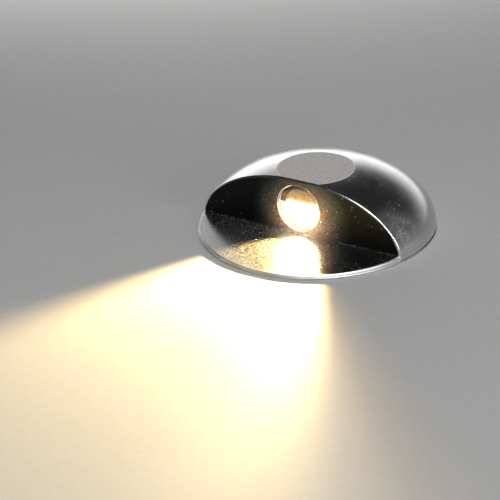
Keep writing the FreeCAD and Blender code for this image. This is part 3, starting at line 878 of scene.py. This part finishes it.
@dataclass
class Dome:
    """The polished dome: a flattened ball, cut at the front by an upright wall and a nearly level floor."""

    radius: float = field(init=False)
    height: float = field(init=False)
    wall_y: float = field(init=False)
    lens_z: float = field(init=False)
    seat_radius: float = field(init=False)
    shoulder_y: float = field(init=False)
    chamber: tuple[Vector, Vector] = field(init=False)
    lens_proud: float = 0.4 * MM
    lip: float = 0.4 * MM
    ledge: float = 0.2 * MM
    base_chamfer: float = 0.2 * MM
    flat_radius: float = 9.85 * MM
    floor_height: float = 1.56 * MM
    floor_fall: float = math.radians(1.6)
    edge_break: float = 0.4 * MM
    edge_steps: int = 5
    ridge_angle: float = math.radians(20.0)
    rim_width: float = 1.8 * MM
    underside_relief: float = 0.2 * MM
    seat_gap: float = 0.05 * MM
    aperture_radius: float = 5.1 * MM
    chamber_y: float = -3.5 * MM
    chamber_back_y: float = 5.05 * MM
    chamber_gap: float = 1.0 * MM
    cup_gap: float = 0.1 * MM
    well_radius: float = 14.4 * MM
    well_roof: float = 10.68 * MM
    flange_screw_circle: float = 21.4 * MM
    flange_screw_angles: tuple[float, ...] = (math.radians(10.0), math.radians(90.0), math.radians(170.0))
    flange_hole_radius: float = 1.55 * MM
    flange_hole_top: float = 6.2 * MM
    sink_screw_x: float = 5.0 * MM
    sink_screw_y: float = 7.45 * MM
    sink_hole_radius: float = 1.3 * MM
    sink_hole_top: float = 14.18 * MM
    columns: int = 112
    rows: int = 40
    front_columns: int = 96
    settling_steps: int = 4
    bore_sides: int = 96
    hole_sides: int = 32
    crisp_angle: float = math.radians(38.0)
    normal_weight: int = 100

    def __post_init__(self) -> None:
        """Take from the frame what the neighbouring pieces fix."""
        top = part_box("dome_cover")[1]
        self.radius, self.height = top.x, top.z
        lens_low, lens_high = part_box("window_lens")
        self.wall_y = lens_low.y + self.lens_proud
        self.lens_z = (lens_low.z + lens_high.z) / 2
        self.seat_radius = lens_high.x + self.seat_gap
        self.shoulder_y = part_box("lens_seal")[1].y
        board_low, board_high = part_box("led_board")
        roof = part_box("reflector_cup")[1].z + self.cup_gap
        self.chamber = (
            Vector((board_low.x - self.chamber_gap, self.chamber_y, -self.lip)),
            Vector((board_high.x + self.chamber_gap, self.chamber_back_y, roof)),
        )

    @property
    def skin_radius(self) -> float:
        """Level half axis of the ellipse that the dome is turned from."""
        return self.radius - self.ledge

    @property
    def rise(self) -> float:
        """Upright half axis of that ellipse."""
        return (self.height - self.lip) / math.sqrt(1.0 - (self.flat_radius / self.skin_radius) ** 2)

    @property
    def seam_angle(self) -> float:
        """Angle about the axis at which the outlet's wall meets its floor, on the right."""
        return math.asin(self.wall_y / self.radius_at(self.floor_height))

    def radius_at(self, level: float) -> float:
        """Distance of the curved skin from the axis at a level."""
        return self.skin_radius * math.sqrt(1.0 - ((level - self.lip) / self.rise) ** 2)

    def floor_at(self, y: float) -> float:
        """Level of the outlet's floor at a depth."""
        return self.floor_height - (self.wall_y - y) * math.tan(self.floor_fall)

    def foot_rings(self) -> list[tuple[float, float]]:
        """Radius and level of each ring of the narrow ledge at the ground, from the ground up."""
        foot = [(self.radius - self.base_chamfer, 0.0), (self.radius, self.base_chamfer)]
        return foot + [(self.radius, self.lip), (self.skin_radius, self.lip)]

    def skin_rings(self) -> list[tuple[float, float]]:
        """Lay out the rings of the curved skin, from the floor's line up to the flat.

        Returns:
            Radius and level of each ring.
        """
        start = math.asin((self.floor_height - self.lip) / self.rise)
        end = math.acos(self.flat_radius / self.skin_radius)
        turns = [start + (end - start) * k / self.rows for k in range(self.rows + 1)]
        return [(self.skin_radius * math.cos(turn), self.lip + self.rise * math.sin(turn)) for turn in turns]

    def back_skin(self) -> Piece:
        """Lay the skin behind the outlet's wall, down to the ground.

        Returns:
            The open skin.
        """
        rings = self.foot_rings() + self.skin_rings()

        def where(share: float, row: int) -> Vector:
            """Place a point of the skin.

            Args:
                share: How far round it lies, 0 to 1.
                row: Which ring it lies on.

            Returns:
                Its place.
            """
            radius, level = rings[row]
            low = level < self.floor_height + NEAR
            start = self.seam_angle if low else math.asin(self.wall_y / radius)
            angle = start + share * (math.pi - 2.0 * start)
            return Vector((radius * math.cos(angle), radius * math.sin(angle), level))

        return bent_grid(self.columns, len(rings) - 1, where)

    def front_rim(self) -> Piece:
        """Lay the low rim round the front of the outlet's floor.

        Returns:
            The open rim.
        """
        foot = self.foot_rings()
        rings = foot + self.skin_rings()[:1]

        def where(share: float, row: int) -> Vector:
            """Place a point of the rim.

            Args:
                share: How far round it lies, 0 to 1.
                row: Which ring it lies on.

            Returns:
                Its place.
            """
            angle = math.pi - self.seam_angle + share * (math.pi + 2.0 * self.seam_angle)
            radius, level = rings[row]
            if row == len(foot):
                for _ in range(self.settling_steps):
                    level = self.floor_at(radius * math.sin(angle))
                    radius = self.radius_at(level)
            return Vector((radius * math.cos(angle), radius * math.sin(angle), level))

        return bent_grid(self.front_columns, len(foot), where)

    def on_wall(self, place: Vector) -> bool:
        """Whether a point lies in the plane of the outlet's wall, above its floor's line."""
        return abs(place.y - self.wall_y) < NEAR and place.z > self.floor_height - NEAR

    def on_floor(self, place: Vector) -> bool:
        """Whether a point lies in the plane of the outlet's floor."""
        return place.y < self.wall_y + NEAR and abs(place.z - self.floor_at(place.y)) < NEAR

    def on_flat(self, place: Vector) -> bool:
        """Whether a point lies in the plane of the crown's flat."""
        return abs(place.z - self.height) < NEAR

    def close_shell(self) -> None:
        """Close the flat, the wall, the floor and the underside, in edit mode with all selected."""
        bpy.ops.mesh.remove_doubles(threshold=MERGE_DISTANCE)
        for plane in (self.on_flat, self.on_floor):
            pick(Pick.POINTS, lambda point: plane(point.co) and self.on_wall(point.co))
            bpy.ops.mesh.edge_face_add()
        for plane in (self.on_flat, self.on_wall, self.on_floor):
            pick(Pick.POINTS, lambda point: plane(point.co))
            bpy.ops.mesh.edge_face_add()
        pick(Pick.EDGES, lambda edge: all(abs(v.co.z) < NEAR for v in edge.verts))
        inner = (self.radius - self.rim_width) / (self.radius - self.base_chamfer)
        bpy.ops.mesh.extrude_edges_move()
        bpy.ops.transform.resize(value=(inner, inner, 1.0), center_override=ORIGIN)
        bpy.ops.mesh.extrude_edges_move()
        bpy.ops.transform.translate(value=(0.0, 0.0, self.underside_relief))
        bpy.ops.mesh.edge_face_add()
        bpy.ops.mesh.select_all(action="SELECT")
        bpy.ops.mesh.normals_make_consistent(inside=False)

    def bounds_outlet(self, edge: bmesh.types.BMEdge) -> bool:
        """Whether an edge bounds the outlet, other than the line between its wall and floor.

        Args:
            edge: An edge of the closed shell.

        Returns:
            Whether it is one of the edges to round.
        """
        ends = [v.co for v in edge.verts]
        wall, floor = (all(plane(place) for place in ends) for plane in (self.on_wall, self.on_floor))
        return wall != floor and edge.is_manifold and edge.calc_face_angle() > self.ridge_angle

    def break_edges(self) -> None:
        """Round the edges where the outlet breaks through the skin, in edit mode."""
        log.info("outlet edges rounded: %d", pick(Pick.EDGES, self.bounds_outlet))
        bpy.ops.mesh.bevel(
            offset=self.edge_break,
            segments=self.edge_steps,
            profile=0.5,
            affect="EDGES",
            material=Zone.EDGE.value,
        )

    def well(self) -> Piece:
        """Shape the round well over the barrel's bore, its front cut off flat.

        Returns:
            The well, to cut with.
        """
        foot, roof = Vector((0.0, 0.0, -self.lip)), Vector((0.0, 0.0, self.well_roof))
        rod = cutter_rod(self.well_radius, foot, roof, self.bore_sides)
        front = (0.0, self.chamber_y, 0.0)
        with editing(rod):
            bpy.ops.mesh.bisect(plane_co=front, plane_no=(0.0, 1.0, 0.0), clear_inner=True, use_fill=True)
        return rod

    def tapped_holes(self) -> list[Piece]:
        """Shape the holes of the flange's and the heat sink's screws.

        Returns:
            The holes, to cut with.
        """
        circle = self.flange_screw_circle
        flange = [(circle * math.cos(angle), circle * math.sin(angle)) for angle in self.flange_screw_angles]
        sink = [(side * self.sink_screw_x, self.sink_screw_y) for side in (-1.0, 1.0)]
        kinds = (
            (flange, self.flange_hole_radius, self.flange_hole_top),
            (sink, self.sink_hole_radius, self.sink_hole_top),
        )
        return [
            cutter_rod(radius, Vector((x, y, -self.lip)), Vector((x, y, top)), self.hole_sides)
            for places, radius, top in kinds
            for x, y in places
        ]

    def hollow(self, dome: Piece) -> None:
        """Cut the window's stepped seat, the room behind it and the tapped holes.

        Args:
            dome: The closed dome.
        """
        outside = Vector((0.0, self.wall_y - self.seat_radius, self.lens_z))
        shoulder = Vector((0.0, self.shoulder_y, self.lens_z))
        inside = Vector((0.0, self.chamber_y + self.seat_gap, self.lens_z))
        cutters = [
            cutter_block(*self.chamber),
            self.well(),
            cutter_rod(self.aperture_radius, outside, inside, self.bore_sides),
            cutter_rod(self.seat_radius, outside, shoulder, self.bore_sides),
            *self.tapped_holes(),
        ]
        for cutter in cutters:
            apply_modifier(dome, "BOOLEAN", operation="DIFFERENCE", solver="EXACT", object=cutter)
            bpy.data.objects.remove(cutter)
        with editing(dome):
            bpy.ops.mesh.remove_doubles(threshold=NEAR)
            bpy.ops.mesh.dissolve_degenerate(threshold=NEAR)

    def zone_of(self, face: bmesh.types.BMFace) -> Zone:
        """Tell which area of the dome a face belongs to.

        Args:
            face: A face of the cut dome.

        Returns:
            The area, whose finish the face takes.
        """
        middle, normal = face.calc_center_median(), face.normal
        if face.material_index == Zone.EDGE.value:
            on_front = middle.z > self.height - self.edge_break and middle.xy.length < self.flat_radius
            return Zone.FLAT if on_front else Zone.EDGE
        if normal.z > LEVEL and self.on_flat(middle):
            return Zone.FLAT
        if normal.y < -LEVEL and self.on_wall(middle):
            return Zone.WALL
        if normal.z > LEVEL and self.on_floor(middle):
            return Zone.FLOOR
        skin = self.radius_at(max(middle.z, self.lip)) - self.edge_break
        if middle.xy.length < skin or normal.z < -LEVEL:
            return Zone.HIDDEN
        return Zone.RIM if middle.y < self.wall_y else Zone.SKIN

    def mark_zones(self, dome: Piece) -> None:
        """Give each face its finish, and mark the edges that stay crisp.

        Args:
            dome: The cut dome.
        """
        mesh = bmesh.new()
        mesh.from_mesh(dome.data)
        for face in mesh.faces:
            face.material_index = self.zone_of(face).value
            face.smooth = True
        soft = {Zone.SKIN.value, Zone.RIM.value}
        for edge in mesh.edges:
            zones = {face.material_index for face in edge.link_faces}
            joined = len(zones) == 1 or zones <= soft or Zone.EDGE.value in zones
            edge.smooth = joined and edge.calc_face_angle(0.0) < self.crisp_angle
        mesh.to_mesh(dome.data)
        mesh.free()
        apply_modifier(dome, "WEIGHTED_NORMAL", keep_sharp=True, weight=self.normal_weight)

    def build(self) -> Piece:
        """Model the dome.

        Returns:
            The finished mesh.
        """
        dome, rim = self.back_skin(), self.front_rim()
        only(dome)
        rim.select_set(True)
        bpy.ops.object.join()
        dome.name = "polished_dome"
        with editing(dome):
            self.close_shell()
            self.break_edges()
        self.hollow(dome)
        self.mark_zones(dome)
        return dome

    def dress(self, dome: Piece) -> None:
        """Give the dome its finishes, and let it stand for the solid.

        Args:
            dome: The finished mesh.
        """
        for finish in self.finishes():
            dome.data.materials.append(finish.make())
        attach(dome, "luminaire")
        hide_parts("dome_cover")

    def finishes(self) -> list[Finish]:
        """Choose the dome's finishes.

        Returns:
            The finishes, in the order of Zone.
        """
        return [
            HandledPolish(
                "dome_polish", (0.6, 0.6, 0.605), 0.2, haze=0.05, grit_size=0.16,
                patch_centre=(27.0 * MM, -5.0 * MM, 5.5 * MM), patch_radius=9.8 * MM, patch_share=0.72,
            ),
            BlastedMetal(
                "crown_satin", (0.66, 0.632, 0.612), 0.58,
                grain=0.24 * MM, speckle=0.22, worn_radius=self.flat_radius,
            ),
            # On the wall the dusty patch round the window is partly dust and partly painted glow: thickest
            # by the window, brown there and grey-blue outwards.
            HandledPolish(
                "wall_polish", (0.007, 0.008, 0.006), 0.34, grit_colour=(0.38, 0.265, 0.23), grit_size=0.18,
                patch_centre=(0.5 * MM, self.wall_y, self.lens_z - 3.2 * MM), patch_radius=16.5 * MM,
                patch_share=0.54, patch_contrast=0.6, patch_smear=0.0, dust_and_painted_glow_colour=(0.3, 0.36, 0.4),
                dust_and_painted_highlight=0.02, seam_axis=Axis.Z, seam_at=self.floor_height,
            ),
            HandledPolish(
                "floor_polish", (0.55, 0.55, 0.54), 0.22, grit_colour=(0.78, 0.73, 0.62), grit_size=0.18,
                patch_centre=(-9.0 * MM, -20.0 * MM, 1.2 * MM), patch_radius=25.0 * MM, patch_share=0.14,
                patch_grain=0.45 * MM, patch_contrast=1.0, patch_smear=0.0, satin=0.05, haze=0.04,
                seam_axis=Axis.Y, seam_at=self.wall_y,
            ),
            # The edges' pale veil, half their cover, is a painted highlight that keeps the edge line bright
            # all along.
            HandledPolish(
                "edge_polish", (0.85, 0.85, 0.845), 0.5,
                grit_colour=(0.9, 0.9, 0.89), grit_size=0.1, dust_and_painted_highlight=0.5,
            ),
            TurnedMetal("rim_brushed", (0.74, 0.74, 0.735), 0.4, pitch=0.1 * MM),
            BlastedMetal("bore_metal", (0.08, 0.08, 0.082), 0.5),
        ]


@dataclass
class Pieces:
    """The finishes of the pieces whose solids stay as they are."""

    glow: Colour = (1.0, 0.86, 0.62)
    can_end: float = 0.3 * MM
    chip_leads: float = 0.8 * MM

    def lit(self) -> dict[Finish, list[str]]:
        """Choose the finishes of the window and of what is lit behind it.

        Returns:
            The finishes, each with its nodes.
        """
        cup_low, cup_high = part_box("reflector_cup")
        shield_low, shield_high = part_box("cutoff_shield")
        lens_low, lens_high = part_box("window_lens")
        cup = {"glow": self.glow, "mouth_y": cup_low.y, "deep_y": cup_high.y}
        shield = {"edge_z": shield_low.z, "top_z": shield_high.z, "top_strength": 0.03}
        window = ClearWindow(
            "clear_glass", (1.0, 1.0, 0.99), 0.0, left_highlight=0.9, right_highlight=0.12,
            rim_radius=lens_high.x, middle_z=(lens_low.z + lens_high.z) / 2, edge_z=shield_low.z,
        )
        seal = GlowingShield(
            "clear_silicone", (0.1, 0.07, 0.04), 0.4, edge_strength=0.3, lit_strength=0.75, **shield,
        )
        smoked = GlowingShield(
            "smoked_shield", (0.1, 0.06, 0.03), 0.4, edge_strength=0.6, line_strength=0.8, **shield,
        )
        bright = LitReflector(
            "bright_reflector", (0.86, 0.84, 0.8), 0.12, mouth_strength=2.4, deep_strength=3.6, **cup,
        )
        emitter = LitReflector(
            "led_phosphor", (0.85, 0.68, 0.25), 0.5, mouth_strength=4.5, deep_strength=4.5, **cup,
        )
        return {
            window: ["window_lens"],
            seal: ["lens_seal"],
            smoked: ["cutoff_shield"],
            bright: ["reflector_cup"],
            emitter: ["led_package", "led_dome"],
        }

    def metals(self) -> dict[Finish, list[str]]:
        """Choose the finishes of the plain metal pieces.

        Returns:
            The finishes, each with its nodes.
        """
        return {
            HandledPolish("plated_steel", (0.6, 0.59, 0.57), 0.24, grit_size=0.12): [
                "board_screws", "heat_sink_screws", "flange_screws", "terminal_screws",
            ],
            BlastedMetal("milled_aluminium", (0.62, 0.62, 0.62), 0.36): ["heat_sink_block"],
            TurnedMetal("anodised_aluminium", (0.55, 0.555, 0.56), 0.42): ["barrel"],
            BlastedMetal("spring_steel", (0.16, 0.155, 0.15), 0.34): ["end_cap_circlip"],
        }

    def mouldings(self) -> dict[Finish, list[str]]:
        """Choose the finishes of the plastic and rubber pieces.

        Returns:
            The finishes, each with its nodes.
        """
        return {
            Rubber("black_rubber", (0.018, 0.018, 0.019), 0.55): [
                "flange_seal", "sleeve_orings", "end_cap_seal",
                "gland_washer", "gland_grommet", "flange_gasket",
            ],
            MouldedPlastic("black_nylon", (0.022, 0.022, 0.024), 0.42): [
                "gland_body", "gland_locknut", "gland_nut",
            ],
            MouldedPlastic("terminal_green", (0.035, 0.2, 0.07), 0.38): ["led_terminal", "supply_terminal"],
            MouldedPlastic("thermal_silicone", (0.36, 0.4, 0.45), 0.6): ["thermal_pad"],
            MouldedPlastic("black_acetal", (0.03, 0.03, 0.031), 0.34): ["end_cap"],
            MouldedPlastic("ferrite", (0.04, 0.04, 0.042), 0.55): ["driver_inductor"],
            MouldedPlastic("red_insulation", (0.45, 0.02, 0.018), 0.36): ["lead_positive"],
            MouldedPlastic("black_insulation", (0.02, 0.02, 0.02), 0.36): ["lead_negative"],
            MouldedPlastic("grey_sleeve", (0.16, 0.165, 0.17), 0.5): ["ground_sleeve"],
        }

    def electronics(self) -> dict[Finish, list[str]]:
        """Choose the finishes of the boards and of what is soldered to them.

        Returns:
            The finishes, each with its nodes.
        """
        can_top, chip_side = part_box("driver_capacitor")[1].y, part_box("driver_chip")[1].x
        can = TwoTone(
            "capacitor_can", (0.03, 0.035, 0.07), 0.3, axis=Axis.Y, metal_from=can_top - self.can_end,
        )
        chip = TwoTone("black_epoxy", (0.02, 0.02, 0.021), 0.42, metal_from=chip_side - self.chip_leads)
        white = CircuitBoard("white_board", (0.75, 0.74, 0.7), 0.3, track_colour=(0.62, 0.61, 0.58))
        green = CircuitBoard("green_board", (0.012, 0.09, 0.035), 0.28, track_colour=(0.03, 0.16, 0.06))
        return {
            can: ["driver_capacitor"],
            chip: ["driver_chip"],
            white: ["led_board"],
            green: ["driver_board"],
        }

    def dress(self) -> None:
        """Give each of these nodes its finish."""
        finishes = self.lit() | self.metals() | self.mouldings() | self.electronics()
        for finish, names in finishes.items():
            material = finish.make()
            for name in names:
                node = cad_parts[name]
                node.data.materials.clear()
                node.data.materials.append(material)
                log.info("%s: %s", name, finish.name)


@dataclass(frozen=True)
class BeamLamp:
    """One lamp of the light's own beam: a cone of light from a small round source.

    Its power stays small and a gain makes up for it, so that every lamp gets its share of the samples.
    """

    name: str
    colour: Colour
    spread: float
    soft_edge: float
    turn: float
    dip: float
    shift: Point
    reach: Reach = Reach.NATURAL
    gain: float = 1.0
    power: float = 0.5
    mirrored: bool = True
    source_radius: float = 1.6 * MM

    def hang(self, window: Vector) -> None:
        """Put the lamp before the window, where it lifts and turns with the light.

        Args:
            window: Middle of the window's face.
        """
        lamp = bpy.data.lights.new(self.name, "SPOT")
        lamp.energy = self.power
        lamp.color = self.colour
        lamp.shadow_soft_size = self.source_radius
        lamp.spot_size = self.spread
        lamp.spot_blend = self.soft_edge
        lamp.use_nodes = True
        bench = NodeBench(lamp.node_tree)
        emission = next(node for node in lamp.node_tree.nodes if node.type == "EMISSION")
        falloff = bench.add("ShaderNodeLightFalloff", {"Strength": 1.0}).outputs[self.reach.value]
        bench.feed(emission.inputs["Strength"], bench.math("MULTIPLY", falloff, self.gain))
        way = Vector((math.sin(self.turn), -math.cos(self.turn), -math.tan(self.dip)))
        holder = stand(lamp, window + Vector(self.shift), facing(way))
        holder.visible_glossy = self.mirrored
        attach(holder, "luminaire")
        log.info("beam lamp: %s", self.name)


@dataclass
class Beam:
    """The light's own beam: a low fan with a golden fringe, a wash on the floor and spill on the wall."""

    colour: Colour = (1.0, 0.86, 0.6)
    fringe_colour: Colour = (1.0, 0.6, 0.14)
    wash_colour: Colour = (1.0, 0.71, 0.3)
    fan_edge: float = 0.55
    fan_turn: float = math.radians(7.0)
    fan_dip: float = math.radians(9.0)
    fan_shift: Point = (0.0, -1.0 * MM, -2.0 * MM)
    wash_shift: Point = (0.0, -1.0 * MM, 0.0)
    spill_shift: Point = (0.8 * MM, -7.0 * MM, -2.2 * MM)

    def lamps(self) -> list[BeamLamp]:
        """List the lamps. All shine out of the window but the spill, which faces the wall round it.

        Returns:
            The lamps.
        """
        fan = {
            "soft_edge": self.fan_edge, "turn": self.fan_turn, "dip": self.fan_dip, "shift": self.fan_shift,
            "reach": Reach.EVEN,
        }
        return [
            BeamLamp("beam", self.colour, math.radians(76.0), gain=280.0, **fan),
            BeamLamp("fringe", self.fringe_colour, math.radians(92.0), gain=200.0, **fan),
            BeamLamp(
                "wash", self.wash_colour, math.radians(88.0), soft_edge=0.4, turn=math.radians(2.0),
                dip=math.radians(34.0), shift=self.wash_shift, reach=Reach.FADING, gain=78.0,
            ),
            BeamLamp(
                "spill", self.colour, math.radians(150.0), soft_edge=1.0, turn=math.pi, dip=0.0,
                shift=self.spill_shift, power=0.1, mirrored=False,
            ),
        ]

    def build(self) -> None:
        """Make the lamps."""
        low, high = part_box("window_lens")
        for lamp in self.lamps():
            lamp.hang(Vector((0.0, low.y, (low.z + high.z) / 2)))


@dataclass(frozen=True)
class SoftLamp:
    """One soft studio lamp: a glowing rectangle, which polish or matt surfaces may be kept from showing."""

    name: str
    place: Point
    size: tuple[float, float]
    power: float
    aim: Point = ORIGIN
    spread: float = math.pi
    mirrored: bool = True
    matt: bool = True

    def hang(self) -> None:
        """Put the lamp into the scene."""
        light = bpy.data.lights.new(self.name, "AREA")
        light.shape = "RECTANGLE"
        light.size, light.size_y = self.size
        light.spread = self.spread
        light.energy = self.power
        place = Vector(self.place)
        holder = stand(light, place, facing(Vector(self.aim) - place))
        holder.visible_glossy = self.mirrored
        holder.visible_diffuse = self.matt
        log.info("studio lamp: %s", self.name)


@dataclass
class Studio:
    """Pale floor, a surround that is bright low on one side and dim elsewhere, and soft lamps."""

    hole_radius: float = field(init=False)
    hole_depth: float = field(init=False)
    hole_gap: float = 0.05 * MM
    hole_sides: int = 160
    floor_radius: float = 6.0
    floor: StudioFloor = StudioFloor("pale_floor", (0.4, 0.4, 0.396), 0.7)
    low_light: float = 2.4
    high_light: float = 0.018
    high_edge: float = 0.46
    bright_side: Point = (-0.64, 0.77, 0.0)
    bright_focus: float = 3.0
    dim_side: float = 0.06
    lamps: tuple[SoftLamp, ...] = (
        SoftLamp("top_soft", (0.27, -0.36, 0.86), (0.45, 0.45), 7.0),
        SoftLamp("back_soft", (-0.5, 0.64, 0.4), (0.5, 0.4), 0.33),
        SoftLamp(
            "floor_soft", (-0.28, 0.36, 0.55), (0.25, 0.25), 2.5,
            aim=(-0.28, 0.36, 0.0), spread=math.radians(50.0), mirrored=False,
        ),
        SoftLamp("right_soft", (0.92, -0.25, 0.28), (0.5, 0.4), 3.0),
        SoftLamp("front_soft", (0.52, -0.58, 0.45), (0.3, 0.3), 3.1, matt=False),
    )

    def __post_init__(self) -> None:
        """The hole in the paving takes the sleeve's collar, and its wall shows down to the collar's top."""
        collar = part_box("ground_sleeve")[1]
        self.hole_radius = collar.x + self.hole_gap
        self.hole_depth = self.hole_gap - collar.z

    def build(self) -> None:
        """Make the floor, the surround and the lamps."""
        self.build_floor()
        self.build_surround()
        for lamp in self.lamps:
            lamp.hang()

    def build_floor(self) -> None:
        """Make the paving: a wide ring with a short wall in its hole."""
        clear_selection()
        bpy.ops.mesh.primitive_circle_add(
            vertices=self.hole_sides, radius=self.hole_radius, fill_type="NOTHING", location=ORIGIN
        )
        paving = bpy.context.object
        paving.name = "paving"
        wide = self.floor_radius / self.hole_radius
        with editing(paving):
            bpy.ops.transform.translate(value=(0.0, 0.0, -self.hole_depth))
            bpy.ops.mesh.extrude_edges_move()
            bpy.ops.transform.translate(value=(0.0, 0.0, self.hole_depth))
            bpy.ops.mesh.extrude_edges_move()
            bpy.ops.transform.resize(value=(wide, wide, 1.0), center_override=ORIGIN)
        mesh = bmesh.new()
        mesh.from_mesh(paving.data)
        for face in mesh.faces:
            face.normal_update()
            level = abs(face.normal.z) > LEVEL
            outwards = Vector((0.0, 0.0, 1.0)) if level else -face.calc_center_median()
            if face.normal.dot(outwards) < 0:
                face.normal_flip()
        mesh.to_mesh(paving.data)
        mesh.free()
        paving.data.materials.append(self.floor.make())

    def build_surround(self) -> None:
        """Make the world: bright low behind on the left, dim overhead and on the other sides."""
        world = bpy.data.worlds.new("surround")
        bpy.context.scene.world = world
        world.use_nodes = True
        bench = NodeBench(world.node_tree)
        background = next(node for node in world.node_tree.nodes if node.type == "BACKGROUND")
        way = bench.add("ShaderNodeTexCoord").outputs["Generated"]
        height = bench.add("ShaderNodeSeparateXYZ", {0: way}).outputs["Z"]
        low = bench.fade(height, 0.0, self.high_edge, self.low_light, 0.0)
        towards = bench.math("MAXIMUM", bench.vector("DOT_PRODUCT", "Value", way, self.bright_side), 0.0)
        focused = bench.math("POWER", towards, self.bright_focus)
        side = bench.math("MULTIPLY_ADD", focused, 1.0 - self.dim_side, self.dim_side)
        strength = bench.math("MULTIPLY_ADD", low, side, self.high_light)
        bench.feed(background.inputs["Color"], WHITE)
        bench.feed(background.inputs["Strength"], strength)


@dataclass
class Viewpoint:
    """The camera, where the photographer's stood."""

    distance: float = 0.60774
    azimuth: float = math.radians(31.778)
    elevation: float = math.radians(25.720)
    aim: Point = (-0.0077646, -0.0194674, 0.0)
    roll: float = math.radians(-2.7326)
    lens: float = 174.35
    sensor: float = 36.0
    nearest: float = 0.01

    def build(self) -> None:
        """Make the camera."""
        level = math.cos(self.elevation) * self.distance
        place = Vector((
            math.sin(self.azimuth) * level,
            -math.cos(self.azimuth) * level,
            math.sin(self.elevation) * self.distance,
        ))
        camera = bpy.data.cameras.new("camera")
        camera.lens = self.lens
        camera.sensor_width = self.sensor
        camera.clip_start = self.nearest
        turn = facing(Vector(self.aim) - place) @ Quaternion((0.0, 0.0, 1.0), self.roll)
        bpy.context.scene.camera = stand(camera, place, turn)


def main() -> None:
    """Build the dome, dress every piece, light the scene and log the dome's face count."""
    logging.basicConfig(level=logging.INFO, format="%(message)s")
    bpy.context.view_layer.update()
    dome = Dome()
    dome_piece = dome.build()
    dome.dress(dome_piece)
    log.info("%s: %d faces", dome_piece.name, len(dome_piece.data.polygons))
    Pieces().dress()
    Beam().build()
    Studio().build()
    Viewpoint().build()
    bpy.context.scene.view_settings.view_transform = "Standard"


if __name__ == "__main__":
    main()
